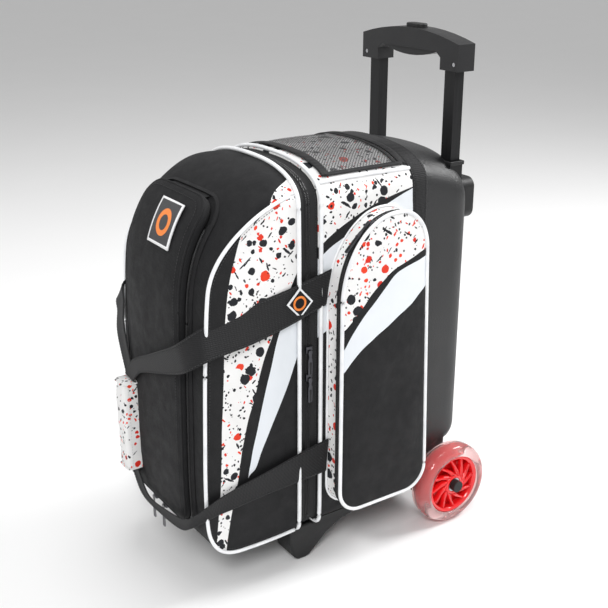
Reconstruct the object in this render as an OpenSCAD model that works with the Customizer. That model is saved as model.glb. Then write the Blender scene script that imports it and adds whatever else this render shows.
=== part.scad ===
// Two-ball roller bag: a soft bag on a wheeled base with a telescopic handle.
// Frame: +Z up, front of the bag towards -Y, side pocket on +X, floor at Z = 0.

/* [Body] */
// Half of the soft body's width
body_hw = 116; // [112:1:120]
// Height of the body's bottom above the floor
body_z0 = 64; // [60:1:68]
// Height where the side walls start to round over
shoulder_z = 530; // [520:1:534]
// Height of the crown along the middle of the top
crown_z = 578; // [570:1:584]
// Thickness of the padded fabric walls
wall = 3; // [2:0.5:4]

/* [Front section] */
// Y of the front section's front wall
front_y = -214; // [-220:1:-208]
// Y where the front section's shell meets the zipper tape
front_back_y = -71; // [-74:1:-68]
// Height where the front wall starts to curve back
brow_z = 380; // [370:1:390]

/* [Rear section] */
// Y where the rear section's shell meets the zipper tape
rear_front_y = -42; // [-45:1:-40]
// Y of the seam between the fabric and the hard back shell
seam_y = 137; // [134:1:138]
// Y of the hard shell's back face
back_y = 222; // [221:1:224]
// Half of the hard shell's width
shell_hw = 112.5; // [111:0.5:113]

/* [Wheels] */
// Wheel diameter
wheel_d = 127; // [125:1:128]
// X of the wheel's inner and outer faces
wheel_x0 = 116.6; // [116.4:0.1:117]
wheel_x1 = 150; // [148:1:151]
// Y of the axle
axle_y = 190.5; // [189:0.5:191]
// Radius of the axle rod
axle_r = 4; // [4:0.1:4.4]

/* [Handle] */
// X of each handle tube
tube_x = 83; // [80:1:85]
// Y of the handle tubes
tube_y = 207; // [206:0.5:207]
// Height of the underside of the grip's sockets
socket_z = 676; // [672:1:680]

/* [Hidden] */
$fn = 48;
eps = 0.01;
gap = 0.4;                    // clearance between pieces that move apart
zip_y = -57;                  // plane where the main zipper parts
zip_wall = 2.5;               // thickness of the zipper tapes
zip_inset = 1.5;              // how far the tapes lie inside the fabric's face
piping_r = 2.5;               // half thickness of the white piping
axle_z = wheel_d / 2;
corner_r = 14;                // bottom edges of the body
toe_r = 35;                   // bottom front edge of the front section
top_steps = 20;
flap_hw = 74;                 // half width of the shoe compartment's flap
flap_z0 = 103;
flap_z1 = 541;
flap_in = 1;                  // flap's inner face, off the front wall
flap_out = 9;                 // flap's outer face, off the front wall
pocket_x0 = body_hw;          // side pocket, from the side wall outwards
pocket_zip_x = 143;
pocket_x1 = 153;
strap_x = body_hw + 4.4;      // middle plane of the carrying straps
strap_t = 2;
strap_w = 50;                 // two inch webbing
wrap_x = -62;                 // grip wrap that holds both straps
wrap_y = -240;
wrap_z0 = 136;
wrap_z1 = 272;
wrap_half_y = 14;
wrap_half_x = 16;
guide = [27, 23, 1.3];        // telescopic tube sizes: X, Y, wall
middle = [23.8, 19.8, 1.3];
upper = [20.6, 16.6, 1.2];
guide_z0 = 142;
guide_z1 = 546;
grip_hw = 105;
grip_half_y = 15;

// ---- Helpers -------------------------------------------------------------

function arc(cx, cy, rx, ry, a0, a1, n) =
    [for (i = [0:n]) let (a = a0 + (a1 - a0) * i / n) [cx + rx * cos(a), cy + ry * sin(a)]];

// Point of a superellipse with exponent p, at parameter angle a in 0..180
function crown_point(hw, h, a, p) =
    [hw * sign(cos(a)) * pow(abs(cos(a)), 2 / p), h * pow(sin(a), 2 / p)];

// Body's outline across X and Z, grown by d
function body_outline(d, hw = body_hw, zs = shoulder_z, zt = crown_z) = concat(
    arc(hw + d - corner_r, body_z0 - d + corner_r, corner_r, corner_r, -90, 0, 4),
    [for (i = [0:top_steps]) crown_point(hw + d, zt - zs + d, i * 180 / top_steps, 2.5) + [0, zs]],
    arc(-hw - d + corner_r, body_z0 - d + corner_r, corner_r, corner_r, 180, 270, 4));

// Front section's outline across Y and Z, grown by d
function front_outline(d) = concat(
    [[0, body_z0 - d]],
    arc(front_y + toe_r, body_z0 + toe_r, toe_r + d, toe_r + d, 270, 180, 6),
    arc(front_back_y + 7, brow_z, front_back_y + 7 - front_y + d, crown_z - 3 - brow_z + d,
        180, 90, 12),
    [[0, crown_z - 3 + d]]);

// Side pocket's outline across Y and Z, grown by d
function pocket_outline(d) = concat(
    arc(60, 400, 86 + d, 113 + d, 180, 90, 10),
    arc(64, 455, 49 + d, 58 + d, 90, 0, 8),
    arc(90, 124, 35 + d, 35 + d, 0, -90, 5),
    arc(8, 124, 34 + d, 35 + d, 270, 180, 5));

module along_y(points, y0, y1)
    translate([0, y1, 0]) rotate([90, 0, 0]) linear_extrude(y1 - y0) polygon(points);

module along_x(points, x0, x1)
    translate([x0, 0, 0]) rotate([90, 0, 90]) linear_extrude(x1 - x0) polygon(points);

module box(lo, hi) translate(lo) cube(hi - lo);

module rod_x(r, x0, x1, y, z) translate([x0, y, z]) rotate([0, 90, 0]) cylinder(r = r, h = x1 - x0);

module rod_y(r, y0, y1, x, z) translate([x, y1, z]) rotate([90, 0, 0]) cylinder(r = r, h = y1 - y0);

// Band that follows the body's outline between offsets d0 and d1
module body_ring(d0, d1, y0, y1)
    difference() {
        along_y(body_outline(d1), y0, y1);
        along_y(body_outline(d0), y0 - 1, y1 + 1);
    }

module pocket_ring(d0, d1, x0, x1)
    difference() {
        along_x(pocket_outline(d1), x0, x1);
        along_x(pocket_outline(d0), x0 - 1, x1 + 1);
    }

// Rectangle with round corners, in the XY plane
module round_rect(x0, x1, y0, y1, r) {
    translate([x0 + r, y0]) square([x1 - x0 - 2 * r, y1 - y0]);
    translate([x0, y0 + r]) square([x1 - x0, y1 - y0 - 2 * r]);
    for (x = [x0 + r, x1 - r], y = [y0 + r, y1 - r]) translate([x, y]) circle(r);
}

module tube(size, x, z0, z1)
    difference() {
        box([x - size[0] / 2, tube_y - size[1] / 2, z0], [x + size[0] / 2, tube_y + size[1] / 2, z1]);
        box([x - size[0] / 2 + size[2], tube_y - size[1] / 2 + size[2], z0 - 1],
            [x + size[0] / 2 - size[2], tube_y + size[1] / 2 - size[2], z1 + 1]);
    }

module pair() {
    children();
    mirror([1, 0, 0]) children();
}

// Flat webbing along a path: centres, and the half-width vector at each centre
module ribbon(c, w, n) {
    count = len(c);
    points = [for (i = [0:count - 1]) for (s = [[-1, 0], [1, 0], [1, 1], [-1, 1]])
        c[i] + s[0] * w[i] + s[1] * strap_t * n[i]];
    sides = [for (i = [0:count - 2]) for (k = [0:3])
        let (a = 4 * i + k, b = 4 * i + (k + 1) % 4)
        [[a, b, b + 4], [a, b + 4, a + 4]]];
    faces = concat([[3, 2, 1], [3, 1, 0]], [for (s = sides) for (f = s) f],
        let (e = 4 * count - 4) [[e, e + 1, e + 2], [e, e + 2, e + 3]]);
    polyhedron(points, faces);
}

// ---- Rear section --------------------------------------------------------

module rear_fabric_shell()
    color("white") body_ring(-wall, 0, rear_front_y, seam_y);

module base_keepout() box([-109, -60, 50], [109, 160, body_z0]);

module ring_piping_rear()
    color("white") difference() {
        body_ring(0, piping_r, rear_front_y, rear_front_y + 2 * piping_r);
        base_keepout();
    }

module ring_piping_front()
    color("white") body_ring(0, piping_r, front_back_y - 2 * piping_r, front_back_y);

module main_zip_tape_rear()
    color("black") body_ring(-zip_inset - zip_wall, -zip_inset, zip_y + gap, rear_front_y);

module main_zip_tape_front()
    color("black") body_ring(-zip_inset - zip_wall, -zip_inset, front_back_y, zip_y - gap);

module top_edge_piping()
    color("white") pair()
        rod_y(2, rear_front_y + 7, 111, 107, 557.2);

module mesh_pocket()
    color("gray") intersection() {
        body_ring(1, 2, -20, 100);
        box([-92, -20, 556], [92, 100, 600]);
    }

module mesh_bindings()
    color("dimgray") intersection() {
        union() {
            body_ring(0, 2.4, -32, -20);
            body_ring(0, 2.4, 100, 110);
        }
        box([-96, -40, 550], [96, 120, 600]);
    }

module pocket_keepout() along_x(pocket_outline(gap), pocket_x0 - 1, pocket_x1 + 5);

module back_binding()
    color("black") difference() {
        body_ring(0, 1.4, 112, seam_y);
        pocket_keepout();
        base_keepout();
        pair() rod_x(wheel_d / 2 + 2, body_hw - 1, 170, axle_y, axle_z);
    }

function shell_profile(d) = [
    [seam_y - (d > 0 ? 5 : 0), body_z0 + d], [150 - d, body_z0 + d], [150 - d, 100 + d],
    [196 - d, 100 + d], [196 - d, 120 + d], [206 - d, 124 + d], [back_y - d, 138 + d],
    [back_y - d, 620], [seam_y - (d > 0 ? 5 : 0), 620]];

module shell_form(d)
    hull() {
        along_y(body_outline(-d, shell_hw, shoulder_z, crown_z - 1), seam_y - 5, seam_y);
        along_y(body_outline(-d, shell_hw, 500, 564), 200 - d, 204 - d);
        along_y(body_outline(-d - 9, shell_hw, 495, 560), back_y - 5 - d, back_y - d);
    }

module tube_slots(size, z0, z1)
    pair() box([tube_x - size[0] / 2, tube_y - size[1] / 2, z0],
        [tube_x + size[0] / 2, tube_y + size[1] / 2, z1]);

module back_shell()
    color("dimgray") difference() {
        intersection() {
            shell_form(0);
            along_x(shell_profile(0), -130, 130);
        }
        intersection() {
            shell_form(wall);
            along_x(shell_profile(wall), -130, 130);
        }
        tube_slots([33, 27], 500, 600);
    }

module back_liner()
    color("gray") intersection() {
        along_y(body_outline(-wall - 1, shell_hw, 500, 558), 186, 189);
        box([-130, 180, 105], [130, 190, 547]);
    }

// Foam block with two cups that hold the balls
module foam_ball_base()
    color("darkgray") difference() {
        box([-100, 140, 106], [100, 186, 520]);
        for (z = [178, 404]) translate([0, 68, z]) sphere(r = 109.5);
    }

// ---- Base ----------------------------------------------------------------

module base_plate()
    color("black") difference() {
        box([-108, rear_front_y, 56], [108, 149.5, body_z0]);
        box([-88, -20, 55], [88, 130, 60]);
    }

foot_profile = [[-77, 56], [-78, 30], [-72, 9], [-67, 2], [-62, 0], [-50, 0], [-44, 2], [-30, 14],
    [-12, 30], [12, 42], [40, 48], [52, 56]];

module front_feet()
    color("black") pair() {
        along_x(foot_profile, 58, 102);
        box([96, 66, 46], [106, 84, 56]);
    }

module wheel_chassis()
    color("black") difference() {
        box([-111, 150, 42], [111, 207, 100]);
        box([-106, 155, 46], [106, 196, 101]);
        rod_x(axle_r + 0.05, -120, 120, axle_y, axle_z);
    }

module axle()
    color("silver") rod_x(axle_r, -151, 151, axle_y, axle_z);

module axle_caps()
    color("black") pair() difference() {
        rod_x(9, wheel_x1 - 1.6, 158, axle_y, axle_z);
        rod_x(axle_r, wheel_x1 - 10, 151, axle_y, axle_z);
    }

// ---- Wheels --------------------------------------------------------------

core_r = 46;
hub_r = 15;
bearing_r = 11;
bearing_w = 7;
wheel_dish = 9.6;             // how deep the web lies behind each face

module wheel_core() {
    difference() {
        rod_x(core_r, wheel_x0 + 4, wheel_x1 - 4, axle_y, axle_z);
        rod_x(core_r - 5, wheel_x1 - wheel_dish, wheel_x1, axle_y, axle_z);
        rod_x(core_r - 5, wheel_x0, wheel_x0 + wheel_dish, axle_y, axle_z);
        for (k = [0:11]) translate([0, axle_y, axle_z]) rotate([k * 30, 0, 0])
            rod_x(4.5, wheel_x0, wheel_x1, 0, 29);
        rod_x(bearing_r, wheel_x0 - 1, wheel_x1 + 1, axle_y, axle_z);
    }
    difference() {
        rod_x(hub_r, wheel_x0 + 2, wheel_x1 - 2, axle_y, axle_z);
        rod_x(bearing_r, wheel_x0 + 1, wheel_x0 + 2 + bearing_w, axle_y, axle_z);
        rod_x(bearing_r, wheel_x1 - 2 - bearing_w, wheel_x1, axle_y, axle_z);
        rod_x(8, wheel_x0, wheel_x1, axle_y, axle_z);
    }
}

module tyre()
    difference() {
        union() {
            rod_x(wheel_d / 2 - 8, wheel_x0, wheel_x1, axle_y, axle_z);
            rod_x(wheel_d / 2, wheel_x0 + 10, wheel_x1 - 10, axle_y, axle_z);
            for (side = [[wheel_x0, 10], [wheel_x1 - 10, 10]])
                translate([side[0] + (side[0] == wheel_x0 ? side[1] : 0), axle_y, axle_z])
                    rotate([0, 90, 0]) rotate_extrude()
                        translate([wheel_d / 2 - 10, 0]) circle(10);
        }
        rod_x(core_r, wheel_x0 - 1, wheel_x1 + 1, axle_y, axle_z);
    }

module bearings()
    for (x = [wheel_x0 + 2, wheel_x1 - 2 - bearing_w]) difference() {
        rod_x(bearing_r, x, x + bearing_w, axle_y, axle_z);
        rod_x(axle_r + 0.05, x - 1, x + bearing_w + 1, axle_y, axle_z);
    }

module wheel_core_right() color("red") wheel_core();
module wheel_core_left() color("red") mirror([1, 0, 0]) wheel_core();
module tyre_right() color("pink") tyre();
module tyre_left() color("pink") mirror([1, 0, 0]) tyre();
module bearings_right() color("silver") bearings();
module bearings_left() color("silver") mirror([1, 0, 0]) bearings();

// ---- Telescopic handle ---------------------------------------------------

module guide_tubes()
    color("black") pair() tube(guide, tube_x, guide_z0, guide_z1);

module guide_tube_bracket()
    color("black") box([-100, 195.5, 130], [100, 206, guide_z0]);

module tube_collars()
    color("black") pair() difference() {
        box([tube_x - 16, tube_y - 13, guide_z1], [tube_x + 16, tube_y + 13, guide_z1 + 6]);
        box([tube_x - middle[0] / 2 - gap, tube_y - middle[1] / 2 - gap, guide_z1 - 1],
            [tube_x + middle[0] / 2 + gap, tube_y + middle[1] / 2 + gap, guide_z1 + 7]);
    }

module middle_tubes()
    color("black") pair() tube(middle, tube_x, 154, guide_z1 + 2);

module upper_tubes()
    color("black") pair() tube(upper, tube_x, 285, 700);

module back_bracket()
    color("black") difference() {
        translate([0, 250, 0]) rotate([90, 0, 0]) linear_extrude(250 - back_y)
            round_rect(-92, 92, 462, 522, 14);
        box([-56, back_y - 1, 474], [56, 244, 510]);
        box([-56, 240, 480], [56, 252, 504]);
    }

// Outline of the grip across X and Z: an arched bar with a socket at each end
grip_outline = concat(
    [[-grip_hw, socket_z], [-grip_hw + 36, socket_z], [-grip_hw + 36, 692], [-60, 699]],
    [[60, 699], [grip_hw - 36, 692], [grip_hw - 36, socket_z], [grip_hw, socket_z]],
    [for (i = [0:10]) let (x = grip_hw * (1 - i / 5)) [x, 727 - 15 * pow(x / grip_hw, 2)]]);

module stadium(r, half, z0, z1) {
    box([-half, tube_y - r, z0], [half, tube_y + r, z1]);
    for (x = [-half, half]) translate([x, tube_y, z0]) cylinder(r = r, h = z1 - z0);
}

module grip_cover()
    color("dimgray") difference() {
        along_y(grip_outline, tube_y - grip_half_y, tube_y + grip_half_y);
        tube_slots([upper[0], upper[1]], socket_z - 1, 700);
        box([-94, tube_y - 6.5, 700 - eps], [94, tube_y + 6.5, 710.5]);
        stadium(9.4, 9, 705, 740);
        pair() rod_y(3.2, tube_y - grip_half_y - 1, tube_y - grip_half_y + 3, grip_hw - 9, 685);
    }

module grip_insert()
    color("dimgray") along_y(
        concat([[-58, 698.6], [58, 698.6]],
            [for (i = [0:8]) let (x = 58 * (1 - i / 4)) [x, 689 + 9 * pow(x / 58, 2)]]),
        tube_y - 12, tube_y + 12);

module grip_screws()
    color("silver") pair() rod_y(3, tube_y - grip_half_y + 0.5, tube_y - grip_half_y + 3, grip_hw - 9, 685);

module release_button()
    color("black") stadium(9, 9, 713, 732);

module release_rods()
    color("silver") {
        box([-88, tube_y - 4, 706], [88, tube_y + 4, 710]);
        box([-6, tube_y - 4, 710], [6, tube_y + 4, 713]);
        pair() translate([tube_x, tube_y, 290]) cylinder(r = 2.5, h = 416);
    }

// ---- Side pocket ---------------------------------------------------------

module pocket_gusset()
    color("white") pocket_ring(-wall, 0, pocket_x0, pocket_zip_x);

module pocket_zip_tape()
    color("black") pocket_ring(-zip_inset - zip_wall, -zip_inset, pocket_zip_x, pocket_zip_x + 3);

module pocket_flap()
    color("black") {
        pocket_ring(-wall - 1, 0, pocket_zip_x + 3 + gap, 150);
        along_x(pocket_outline(0), 150, pocket_x1);
    }

module pocket_piping()
    color("white") pocket_ring(0, piping_r, 147.5, 152.5);

// ---- Front section -------------------------------------------------------

module front_form(d)
    intersection() {
        along_y(body_outline(d), -260, front_back_y);
        along_x(front_outline(d), -140, 140);
    }

module lid_shell()
    color("black") difference() {
        front_form(0);
        intersection() {
            along_y(body_outline(-wall), -260, front_back_y + 1);
            along_x(front_outline(-wall), -140, 140);
        }
        translate([0, -140, 0]) rotate([90, 0, 0]) linear_extrude(120)
            round_rect(-flap_hw + 10, flap_hw - 10, 113, 531, 24);
    }

module lid_divider()
    color("gray") along_y(body_outline(-zip_inset - zip_wall), front_back_y + 1, front_back_y + 4);

// White piping round each side panel of the front section
module lid_piping()
    color("white") pair() intersection() {
        difference() {
            along_x(front_outline(0), body_hw, body_hw + 3);
            along_x(front_outline(-5), body_hw - 1, body_hw + 4);
        }
        box([0, -260, 60], [140, front_back_y - 6, 548]);
    }

module flap_shape(grow)
    translate([0, -146 + grow, 0]) rotate([90, 0, 0]) linear_extrude(120)
        round_rect(-flap_hw - grow, flap_hw + grow, flap_z0 - grow, flap_z1 + grow, 28);

module front_layer(d0, d1)
    difference() {
        along_x(front_outline(d1), -flap_hw - 9, flap_hw + 9);
        along_x(front_outline(d0), -flap_hw - 10, flap_hw + 10);
    }

module shoe_zip_tape()
    color("black") difference() {
        intersection() {
            front_layer(0, 3);
            flap_shape(6);
            box([-140, -260, 60], [140, 0, flap_z1 - 24]);
        }
        flap_shape(1);
    }

module shoe_flap()
    color("dimgray") intersection() {
        front_layer(flap_in, flap_out);
        flap_shape(0);
    }

// Plain badge on the slope of the flap
emblem_at = [12, -193.2, 500];
emblem_tilt = 29.5;
module flap_emblem()
    color("orange") translate(emblem_at) rotate([90 - emblem_tilt, 0, 0])
        linear_extrude(2) round_rect(-28, 28, -28, 28, 3);

// ---- Carrying straps -----------------------------------------------------

up_half = [0, 0.18, 0.984] * (strap_w / 2);
low_half = [0, 0.08, 0.997] * (strap_w / 2);

// Side stretch, corner and front stretch of an upper strap that ends on the wrap
module upper_strap(end_x, corner_y, low)
    ribbon(
        [[strap_x, -29, 420], [strap_x, -100, 402], [strap_x, -190, 386], [strap_x, -217, 380],
            [strap_x - 14, corner_y, 366], [80, corner_y - 2, 351], [30, corner_y - 2, 329],
            [-28, corner_y - 2, 302], [end_x, wrap_y + 5, low]],
        [up_half, up_half, up_half, up_half, [-4, 0, 24], [-7, 0, 23.5], [-8, 0, 22], [-10, 0, 15],
            [-13, 0, 0]],
        [[1, 0, 0], [1, 0, 0], [1, 0, 0], [0.9, -0.4, 0], [0.3, -0.95, 0], [0, -1, 0], [0, -1, 0],
            [0, -1, 0.2], [0, -1, 0]]);

module strap_right_upper()
    color("black") upper_strap(wrap_x + 1, -234, wrap_z1 + 1);

module lower_strap(end_x, corner_y, high)
    ribbon(
        [[strap_x, -29, 172], [strap_x, -100, 163], [strap_x, -190, 150], [strap_x, -217, 144],
            [strap_x - 14, corner_y, 128], [80, corner_y - 2, 115], [30, corner_y - 2, 106],
            [-24, corner_y - 2, 106], [end_x, wrap_y + 5, high]],
        [low_half, low_half, low_half, low_half, [3, 0, 24], [3, 0, 20], [1, 0, 16], [8, 0, 12],
            [13, 0, 0]],
        [[1, 0, 0], [1, 0, 0], [1, 0, 0], [0.9, -0.4, 0], [0.3, -0.95, 0], [0, -1, 0], [0, -1, 0],
            [0, -1, 0], [0, -1, 0]]);

module strap_right_lower()
    color("black") lower_strap(wrap_x + 1, -234, wrap_z0 - 1);

module strap_left_upper()
    color("black") mirror([1, 0, 0]) ribbon(
        [[strap_x, -29, 420], [strap_x, -100, 402], [strap_x, -190, 386], [strap_x, -217, 380],
            [strap_x - 14, -219, 365], [90, -226, 332], [-wrap_x - 1, wrap_y + 9.5, wrap_z1 + 1]],
        [up_half, up_half, up_half, up_half, [-4, 0, 24], [-14, 0, 20], [-13, 0, 0]],
        [[1, 0, 0], [1, 0, 0], [1, 0, 0], [0.9, -0.4, 0], [0.3, -0.95, 0], [0, -1, 0], [0, -1, 0]]);

module strap_left_lower()
    color("black") mirror([1, 0, 0]) ribbon(
        [[strap_x, -29, 172], [strap_x, -100, 163], [strap_x, -190, 150], [strap_x, -217, 143],
            [strap_x - 14, -219, 128], [90, -226, 118], [-wrap_x - 1, wrap_y + 9.5, wrap_z0 - 1]],
        [low_half, low_half, low_half, low_half, [3, 0, 24], [8, 0, 16], [13, 0, 0]],
        [[1, 0, 0], [1, 0, 0], [1, 0, 0], [0.9, -0.4, 0], [0.3, -0.95, 0], [0, -1, 0], [0, -1, 0]]);

module handle_wrap()
    color("white") {
        translate([wrap_x, wrap_y, wrap_z0]) linear_extrude(wrap_z1 - wrap_z0)
            round_rect(-wrap_half_x, wrap_half_x, -wrap_half_y, wrap_half_y, 7);
        box([wrap_x - wrap_half_x - 12, wrap_y - 1, 180], [wrap_x - wrap_half_x, wrap_y + 1, 205]);
    }

// ---- Zip sliders and pulls -----------------------------------------------

pull_len = 31;
main_slider_z = [336, 296];
shoe_slider_x = [-33, -3];
shoe_slider_z = 95;
shoe_slider_y = front_y - 3;
pocket_slider_x = 143.2;
pocket_arc = [79.1, 418, 101.1]; // Y, Z and radius of the zipper's run over the pocket
pocket_slider_turn = 34.2;       // where the slider rests on that run, from the top
pocket_pull_tilt = 10;           // dip of the resting pull towards the fabric

module main_slider(z)
    color("black") box([body_hw - 1, zip_y - 5, z - 5], [body_hw + 3.5, zip_y + 5, z + 5]);

module main_pull(z)
    color("black") box([body_hw + 4, zip_y - 3.5, z - 5 - pull_len], [body_hw + 6, zip_y + 3.5, z]);

module shoe_slider(x)
    color("silver") box([x - 5, shoe_slider_y - 5, shoe_slider_z - 5],
        [x + 5, shoe_slider_y - 0.5, shoe_slider_z + 5]);

module shoe_pull(x)
    color("silver") box([x - 3.5, shoe_slider_y - 7.5, shoe_slider_z - 5 - pull_len],
        [x + 3.5, shoe_slider_y - 5.5, shoe_slider_z]);

module main_slider_a() main_slider(main_slider_z[0]);
module main_slider_b() main_slider(main_slider_z[1]);
module main_pull_a() main_pull(main_slider_z[0]);
module main_pull_b() main_pull(main_slider_z[1]);
module shoe_slider_a() shoe_slider(shoe_slider_x[0]);
module shoe_slider_b() shoe_slider(shoe_slider_x[1]);
module shoe_pull_a() shoe_pull(shoe_slider_x[0]);
module shoe_pull_b() shoe_pull(shoe_slider_x[1]);

module on_pocket_arc()
    translate([pocket_slider_x, pocket_arc[0], pocket_arc[1]])
        rotate([pocket_slider_turn, 0, 0]) translate([0, 0, pocket_arc[2]]) children();

module pocket_slider()
    color("black") on_pocket_arc() box([-3.8, -5, 0.5], [3.8, 5, 3.3]);

module pocket_pull()
    color("black") on_pocket_arc() translate([0, 0, 5.6]) rotate([pocket_pull_tilt, 0, 0])
        box([-3.2, -52, -1], [3.2, 0, 1]);

// ---- Nodes ---------------------------------------------------------------

rear_fabric_shell();
back_shell();
back_binding();
back_liner();
foam_ball_base();
base_plate();
front_feet();
wheel_chassis();
axle();
axle_caps();
guide_tubes();
guide_tube_bracket();
back_bracket();
tube_collars();
mesh_pocket();
mesh_bindings();
ring_piping_rear();
main_zip_tape_rear();
top_edge_piping();
pocket_gusset();
pocket_zip_tape();
strap_right_upper();
strap_right_lower();
strap_left_upper();
strap_left_lower();
lid_shell();
lid_divider();
lid_piping();
ring_piping_front();
main_zip_tape_front();
shoe_zip_tape();
shoe_flap();
flap_emblem();
pocket_flap();
pocket_piping();
middle_tubes();
upper_tubes();
grip_cover();
grip_insert();
grip_screws();
release_button();
release_rods();
wheel_core_right();
wheel_core_left();
tyre_right();
tyre_left();
bearings_right();
bearings_left();
handle_wrap();
main_slider_a();
main_slider_b();
main_pull_a();
main_pull_b();
shoe_slider_a();
shoe_slider_b();
shoe_pull_a();
shoe_pull_b();
pocket_slider();
pocket_pull();
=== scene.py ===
import math
import bpy
import bmesh
import numpy as np
from mathutils import Vector, Matrix, noise as mnoise


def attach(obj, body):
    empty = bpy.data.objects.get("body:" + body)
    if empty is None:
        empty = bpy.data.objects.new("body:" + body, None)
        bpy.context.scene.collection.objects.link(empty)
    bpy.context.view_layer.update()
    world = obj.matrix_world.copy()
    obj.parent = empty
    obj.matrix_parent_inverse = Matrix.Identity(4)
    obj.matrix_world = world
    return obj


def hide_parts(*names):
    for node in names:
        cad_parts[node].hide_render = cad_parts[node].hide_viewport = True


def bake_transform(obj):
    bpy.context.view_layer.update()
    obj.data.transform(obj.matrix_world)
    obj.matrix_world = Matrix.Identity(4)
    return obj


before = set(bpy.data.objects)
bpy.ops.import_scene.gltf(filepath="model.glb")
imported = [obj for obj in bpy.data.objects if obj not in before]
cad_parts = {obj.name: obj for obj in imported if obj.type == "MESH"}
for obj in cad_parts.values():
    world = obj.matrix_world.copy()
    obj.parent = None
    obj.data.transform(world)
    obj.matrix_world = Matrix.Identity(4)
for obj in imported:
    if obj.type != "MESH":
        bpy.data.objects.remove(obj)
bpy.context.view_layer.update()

PI = math.pi
HALF_W = 0.116              # half the bag's width
SHOULDER, RISE = 0.530, 0.048   # height where the rounded top starts, and how far it rises


def turn(degrees):
    """Cosine and sine of an angle in degrees."""
    return math.cos(math.radians(degrees)), math.sin(math.radians(degrees))


def power(v, k):
    """v to the power k, keeping its sign."""
    return np.sign(v) * abs(v) ** k


# ---- Helpers: curves ---------------------------------------------------------


def smooth(points, n):
    """n + 1 points on a Catmull-Rom curve through points, evenly spaced along it."""
    p = np.array(points, float)
    p = np.vstack([2 * p[0] - p[1], p, 2 * p[-1] - p[-2]])
    out = []
    for i in range(1, len(p) - 2):
        for t in np.linspace(0, 1, 24, endpoint=False):
            a, b, c, d = p[i - 1], p[i], p[i + 1], p[i + 2]
            out.append(0.5 * (2 * b + (c - a) * t + (2 * a - 5 * b + 4 * c - d) * t * t
                              + (3 * b - a - 3 * c + d) * t ** 3))
    out.append(p[-2])
    return even(np.array(out), n)


def even(p, n):
    """n + 1 points evenly spaced along the broken line p."""
    seg = np.r_[0, np.cumsum(np.linalg.norm(np.diff(p, axis=0), axis=1))]
    s = np.linspace(0, seg[-1], n + 1)
    return np.stack([np.interp(s, seg, p[:, k]) for k in range(p.shape[1])], 1)


def body_outline(d=0.0, hw=HALF_W, z0=0.064, zs=SHOULDER, zt=0.578, rc=0.014, n=240, bulge=0.0):
    """Closed outline across X and Z, anticlockwise seen from the front, from the bottom's middle."""
    pts = [(0, z0 - d)]
    for a in np.linspace(-90, 0, 9):
        c, s = turn(a)
        pts.append((hw + d - rc + rc * c, z0 - d + rc + rc * s))
    for z in np.linspace(z0 + 0.03, zs - 0.01, 14):
        t = (z - z0) / (zs - z0)
        pts.append((hw + d + bulge * math.sin(PI * t) ** 0.7, z))
    for a in np.linspace(0, 180, 49):
        c, s = turn(a)
        pts.append(((hw + d) * power(c, 0.8), zs + (zt - zs + d) * s ** 0.8))
    pts += [(-x, z) for x, z in pts[1:24][::-1]]
    pts.append((0, z0 - d))
    return even(np.array(pts), n)[:-1]


def wrinkle(p, amp, scale, seed=0.0):
    """A smooth random height at the place p."""
    v = Vector((p[0] * scale + seed, p[1] * scale, p[2] * scale - seed))
    return amp * mnoise.noise(v) + 0.4 * amp * mnoise.noise(v * 2.7)


# ---- Helpers: meshes ---------------------------------------------------------


def shade_smooth(me):
    me.polygons.foreach_set("use_smooth", [True] * len(me.polygons))


def new_mesh(name, verts, faces, mats, smooth_shade=True):
    me = bpy.data.meshes.new(name)
    me.from_pydata([tuple(v) for v in verts], [], [tuple(f) for f in faces])
    me.update()
    ob = bpy.data.objects.new(name, me)
    bpy.context.scene.collection.objects.link(ob)
    for m in mats if isinstance(mats, (list, tuple)) else [mats]:
        me.materials.append(m)
    if smooth_shade:
        shade_smooth(me)
    return ob


def grid_faces(nu, nv, closed_u, closed_v):
    f = []
    for i in range(nu if closed_u else nu - 1):
        for j in range(nv if closed_v else nv - 1):
            a, b = i * nv + j, ((i + 1) % nu) * nv + j
            c, d = ((i + 1) % nu) * nv + (j + 1) % nv, i * nv + (j + 1) % nv
            f.append((a, b, c, d))
    return f


def grid(name, P, mats, closed_u=False, closed_v=False, caps=False, keep=None):
    """A mesh over the points P[u, v]; keep says which faces stay, by their centre."""
    nu, nv = P.shape[:2]
    faces = grid_faces(nu, nv, closed_u, closed_v)
    if keep is not None:
        V = P.reshape(-1, 3)
        faces = [f for f in faces if keep(V[list(f)].mean(0))]
    if caps and closed_v:
        faces.append(tuple(range(nv - 1, -1, -1)))
        faces.append(tuple((nu - 1) * nv + k for k in range(nv)))
    ob = new_mesh(name, P.reshape(-1, 3), faces, mats)
    fix_normals(ob)
    return ob


def fix_normals(ob):
    bm = bmesh.new()
    bm.from_mesh(ob.data)
    bmesh.ops.remove_doubles(bm, verts=bm.verts, dist=1e-6)
    bmesh.ops.recalc_face_normals(bm, faces=bm.faces)
    bm.to_mesh(ob.data)
    bm.free()


def outward(ob, centre):
    """Flip the normals of an open sheet where they point to centre."""
    me = ob.data
    s = sum((Vector(p.center) - Vector(centre)).dot(p.normal) * p.area for p in me.polygons)
    if s < 0:
        me.flip_normals()


def sheet(name, P, mats, centre, thickness, lining=0, **k):
    """A grid that faces away from centre, thickened inwards."""
    ob = grid(name, P, mats, **k)
    outward(ob, centre)
    return thicken(ob, thickness, lining)


def apply_modifiers(ob):
    bpy.context.view_layer.update()
    dg = bpy.context.evaluated_depsgraph_get()
    me = bpy.data.meshes.new_from_object(ob.evaluated_get(dg), depsgraph=dg)
    old = ob.data
    ob.modifiers.clear()
    ob.data = me
    bpy.data.meshes.remove(old)
    return ob


def thicken(ob, t, lining=0):
    m = ob.modifiers.new("s", "SOLIDIFY")
    m.thickness, m.offset = t, -1
    m.material_offset = lining
    m.material_offset_rim = 0
    return apply_modifiers(ob)


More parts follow.
